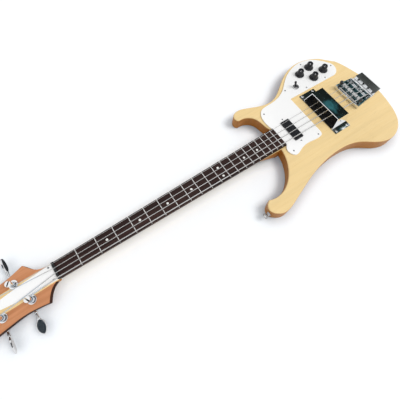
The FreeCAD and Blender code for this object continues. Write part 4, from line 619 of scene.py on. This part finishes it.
# Painted contact shadow: the paper's colour darkens near the instrument, found by occlusion.
near = add(ground_white, "ShaderNodeAmbientOcclusion", {"Distance": 0.030}, samples=16).outputs["AO"]
painted_contact_shadow = shades(ground_white, near, (0.40, grey(0.59)), (0.97, grey(1.0)))
fibres = speckle(ground_white, (3, 3, 3), detail=2.0)
paper = shades(ground_white, fibres, (0.3, grey(0.93)), (0.7, grey(0.95)))
feed(ground_white, "Base Color", mixed(ground_white, 1.0, paper, painted_contact_shadow, "MULTIPLY"))
watched = add(ground_white, "ShaderNodeLightPath", {}).outputs["Is Camera Ray"]
lift = add(ground_white, "ShaderNodeMath", {0: watched, 1: CAMERA_LIFT}, operation="MULTIPLY").outputs[0]
feed(ground_white, "Emission Strength", lift)


def laid_sheet(name, width, length, place, material):
    """A flat sheet of the stage, level, with its middle at a place."""
    shape = bmesh.new()
    bmesh.ops.create_grid(shape, x_segments=1, y_segments=1, size=0.5)
    bmesh.ops.scale(shape, vec=(width, length, 1), verts=shape.verts)
    bmesh.ops.translate(shape, vec=place, verts=shape.verts)
    mesh = bpy.data.meshes.new(name)
    shape.to_mesh(mesh)
    shape.free()
    mesh.materials.append(material)
    sheet = bpy.data.objects.new(name, mesh)
    bpy.context.scene.collection.objects.link(sheet)
    return sheet


laid_sheet("ground", GROUND_SIDE, GROUND_SIDE, (0, 0, -GROUND_DROP), ground_white)


def mirrored_sheet(name, width, length, place, material):
    """A sheet that shows in reflections alone, and neither lights nor shades the object."""
    sheet = laid_sheet(name, width, length, place, material)
    sheet.visible_camera = False
    sheet.visible_diffuse = False
    sheet.visible_shadow = False


def mirrored_finish(name):
    return finish(name, Base_Color=(0, 0, 0, 1), Roughness=1.0, Specular_IOR_Level=0.0, Emission_Strength=1.0)


def hung_board(name, width, length, place, plain, patch, spot, reach):
    """A mottled dark board with a ragged patch of another colour round one spot."""
    rag_depth = 2.4 * reach
    rim_start = 1.2 * reach
    rim_end = 2.0 * reach
    dim = tuple(0.45 * part for part in plain)
    board = mirrored_finish(name)
    here = add(board, "ShaderNodeTexCoord", {}).outputs["Object"]
    from_spot = {0: here, 1: (*spot, place[2])}
    moved = add(board, "ShaderNodeVectorMath", from_spot, operation="SUBTRACT").outputs[0]
    drawn_out = add(board, "ShaderNodeMapping", {"Vector": moved, "Scale": (1, 0.45, 1)}).outputs[0]
    away = add(board, "ShaderNodeVectorMath", {0: drawn_out}, operation="LENGTH").outputs["Value"]
    tatters = speckle(board, (13, 7, 7), detail=2.0, distortion=1.2)
    torn = {0: tatters, 1: rag_depth, 2: away}
    ragged = add(board, "ShaderNodeMath", torn, operation="MULTIPLY_ADD").outputs[0]
    rim_sockets = {"Value": ragged, "From Min": rim_start, "From Max": rim_end}
    rim = add(board, "ShaderNodeMapRange", rim_sockets).outputs[0]
    mottle = shades(board, speckle(board, (4, 3, 4), detail=3.0), (0.40, dim), (0.60, plain))
    feed(board, "Emission Color", mixed(board, rim, patch, mottle))
    mirrored_sheet(name, width, length, place, board)


BOARD_HEIGHT = 1.9
hung_board("board_for_tail", width=0.48, length=2.0, place=(1.32, 1.40, BOARD_HEIGHT),
           plain=(0.112, 0.120, 0.116), patch=(0.100, 0.110, 0.104), spot=(1.4, 0.6), reach=0.1)
hung_board("board_for_cover", width=0.37, length=2.0, place=(1.745, 1.420, BOARD_HEIGHT),
           plain=(0.016, 0.024, 0.022), patch=(0.060, 0.250, 0.280), spot=(1.685, 0.66), reach=0.09)
hung_board("card_by_key", width=0.14, length=0.12, place=(-0.93, 0.12, 0.0002),
           plain=(0.050, 0.055, 0.060), patch=(0.030, 0.034, 0.038), spot=(-0.93, 0.10), reach=0.02)
hung_board("board_for_head", width=0.95, length=1.6, place=(-1.18, 0.3, BOARD_HEIGHT),
           plain=(0.055, 0.066, 0.076), patch=(0.040, 0.052, 0.062), spot=(-1.4, 0.4), reach=0.16)

slats = mirrored_finish("slats")
slat_marks = speckle(slats, (9, 16, 1), detail=1.0, distortion=0.5)
slat_colours = shades(slats, slat_marks, (0.40, (0.012, 0.030, 0.032)), (0.50, (0.05, 0.14, 0.155)),
                      (0.60, (0.07, 0.16, 0.17)), (0.63, grey(1.0)))
feed(slats, "Emission Color", slat_colours)
mirrored_sheet("slats_by_bridge", width=0.24, length=1.0, place=(2.065, 0.9, BOARD_HEIGHT), material=slats)
mirrored_sheet("slats_by_flange", width=0.30, length=0.40, place=(1.57, 0.22, BOARD_HEIGHT), material=slats)

SKY_SEEN = 1.0
SKY_ON_OBJECT = 0.66
world = bpy.data.worlds.new("studio")
bpy.context.scene.world = world
world.use_nodes = True
rays = add(world, "ShaderNodeLightPath", {}).outputs
seen_sockets = {0: rays["Is Camera Ray"], 1: rays["Is Glossy Ray"]}
seen = add(world, "ShaderNodeMath", seen_sockets, operation="MAXIMUM").outputs[0]
seen = add(world, "ShaderNodeMath", {0: seen, 1: rays["Is Transmission Ray"]}, operation="MAXIMUM").outputs[0]
level_sockets = {0: seen, 1: SKY_SEEN - SKY_ON_OBJECT, 2: SKY_ON_OBJECT}
level = add(world, "ShaderNodeMath", level_sockets, operation="MULTIPLY_ADD").outputs[0]
backdrop = world.node_tree.nodes["Background"]
backdrop.inputs["Color"].default_value = (1, 1, 1, 1)
world.node_tree.links.new(level, backdrop.inputs["Strength"])

LAMP_STRENGTH = 1.50
LAMP_SPREAD = math.radians(30)
LAMP_AIM = Vector((-0.62, 0.42, -1.0))
lamp_data = bpy.data.lights.new("broad_lamp", "SUN")
lamp_data.energy = LAMP_STRENGTH
lamp_data.angle = LAMP_SPREAD
lamp = bpy.data.objects.new("broad_lamp", lamp_data)
lamp.rotation_mode = "QUATERNION"
lamp.rotation_quaternion = LAMP_AIM.to_track_quat("-Z", "Y")
lamp.visible_glossy = False
bpy.context.scene.collection.objects.link(lamp)

# The camera's columns are its right, its top, its back and its place, found from the frets.
CAMERA_LENS = 25.39
CAMERA_SENSOR = 36.0
camera_data = bpy.data.cameras.new("camera")
camera_data.lens = CAMERA_LENS
camera_data.sensor_width = CAMERA_SENSOR
camera = bpy.data.objects.new("camera", camera_data)
bpy.context.scene.collection.objects.link(camera)
camera.matrix_world = Matrix(((0.83192, 0.51047, -0.21758, -0.66879),
                              (-0.55459, 0.77799, -0.29524, -0.22632),
                              (0.01857, 0.36628, 0.93032, 0.64675),
                              (0, 0, 0, 1)))
bpy.context.scene.camera = camera
bpy.context.scene.view_settings.view_transform = "Standard"
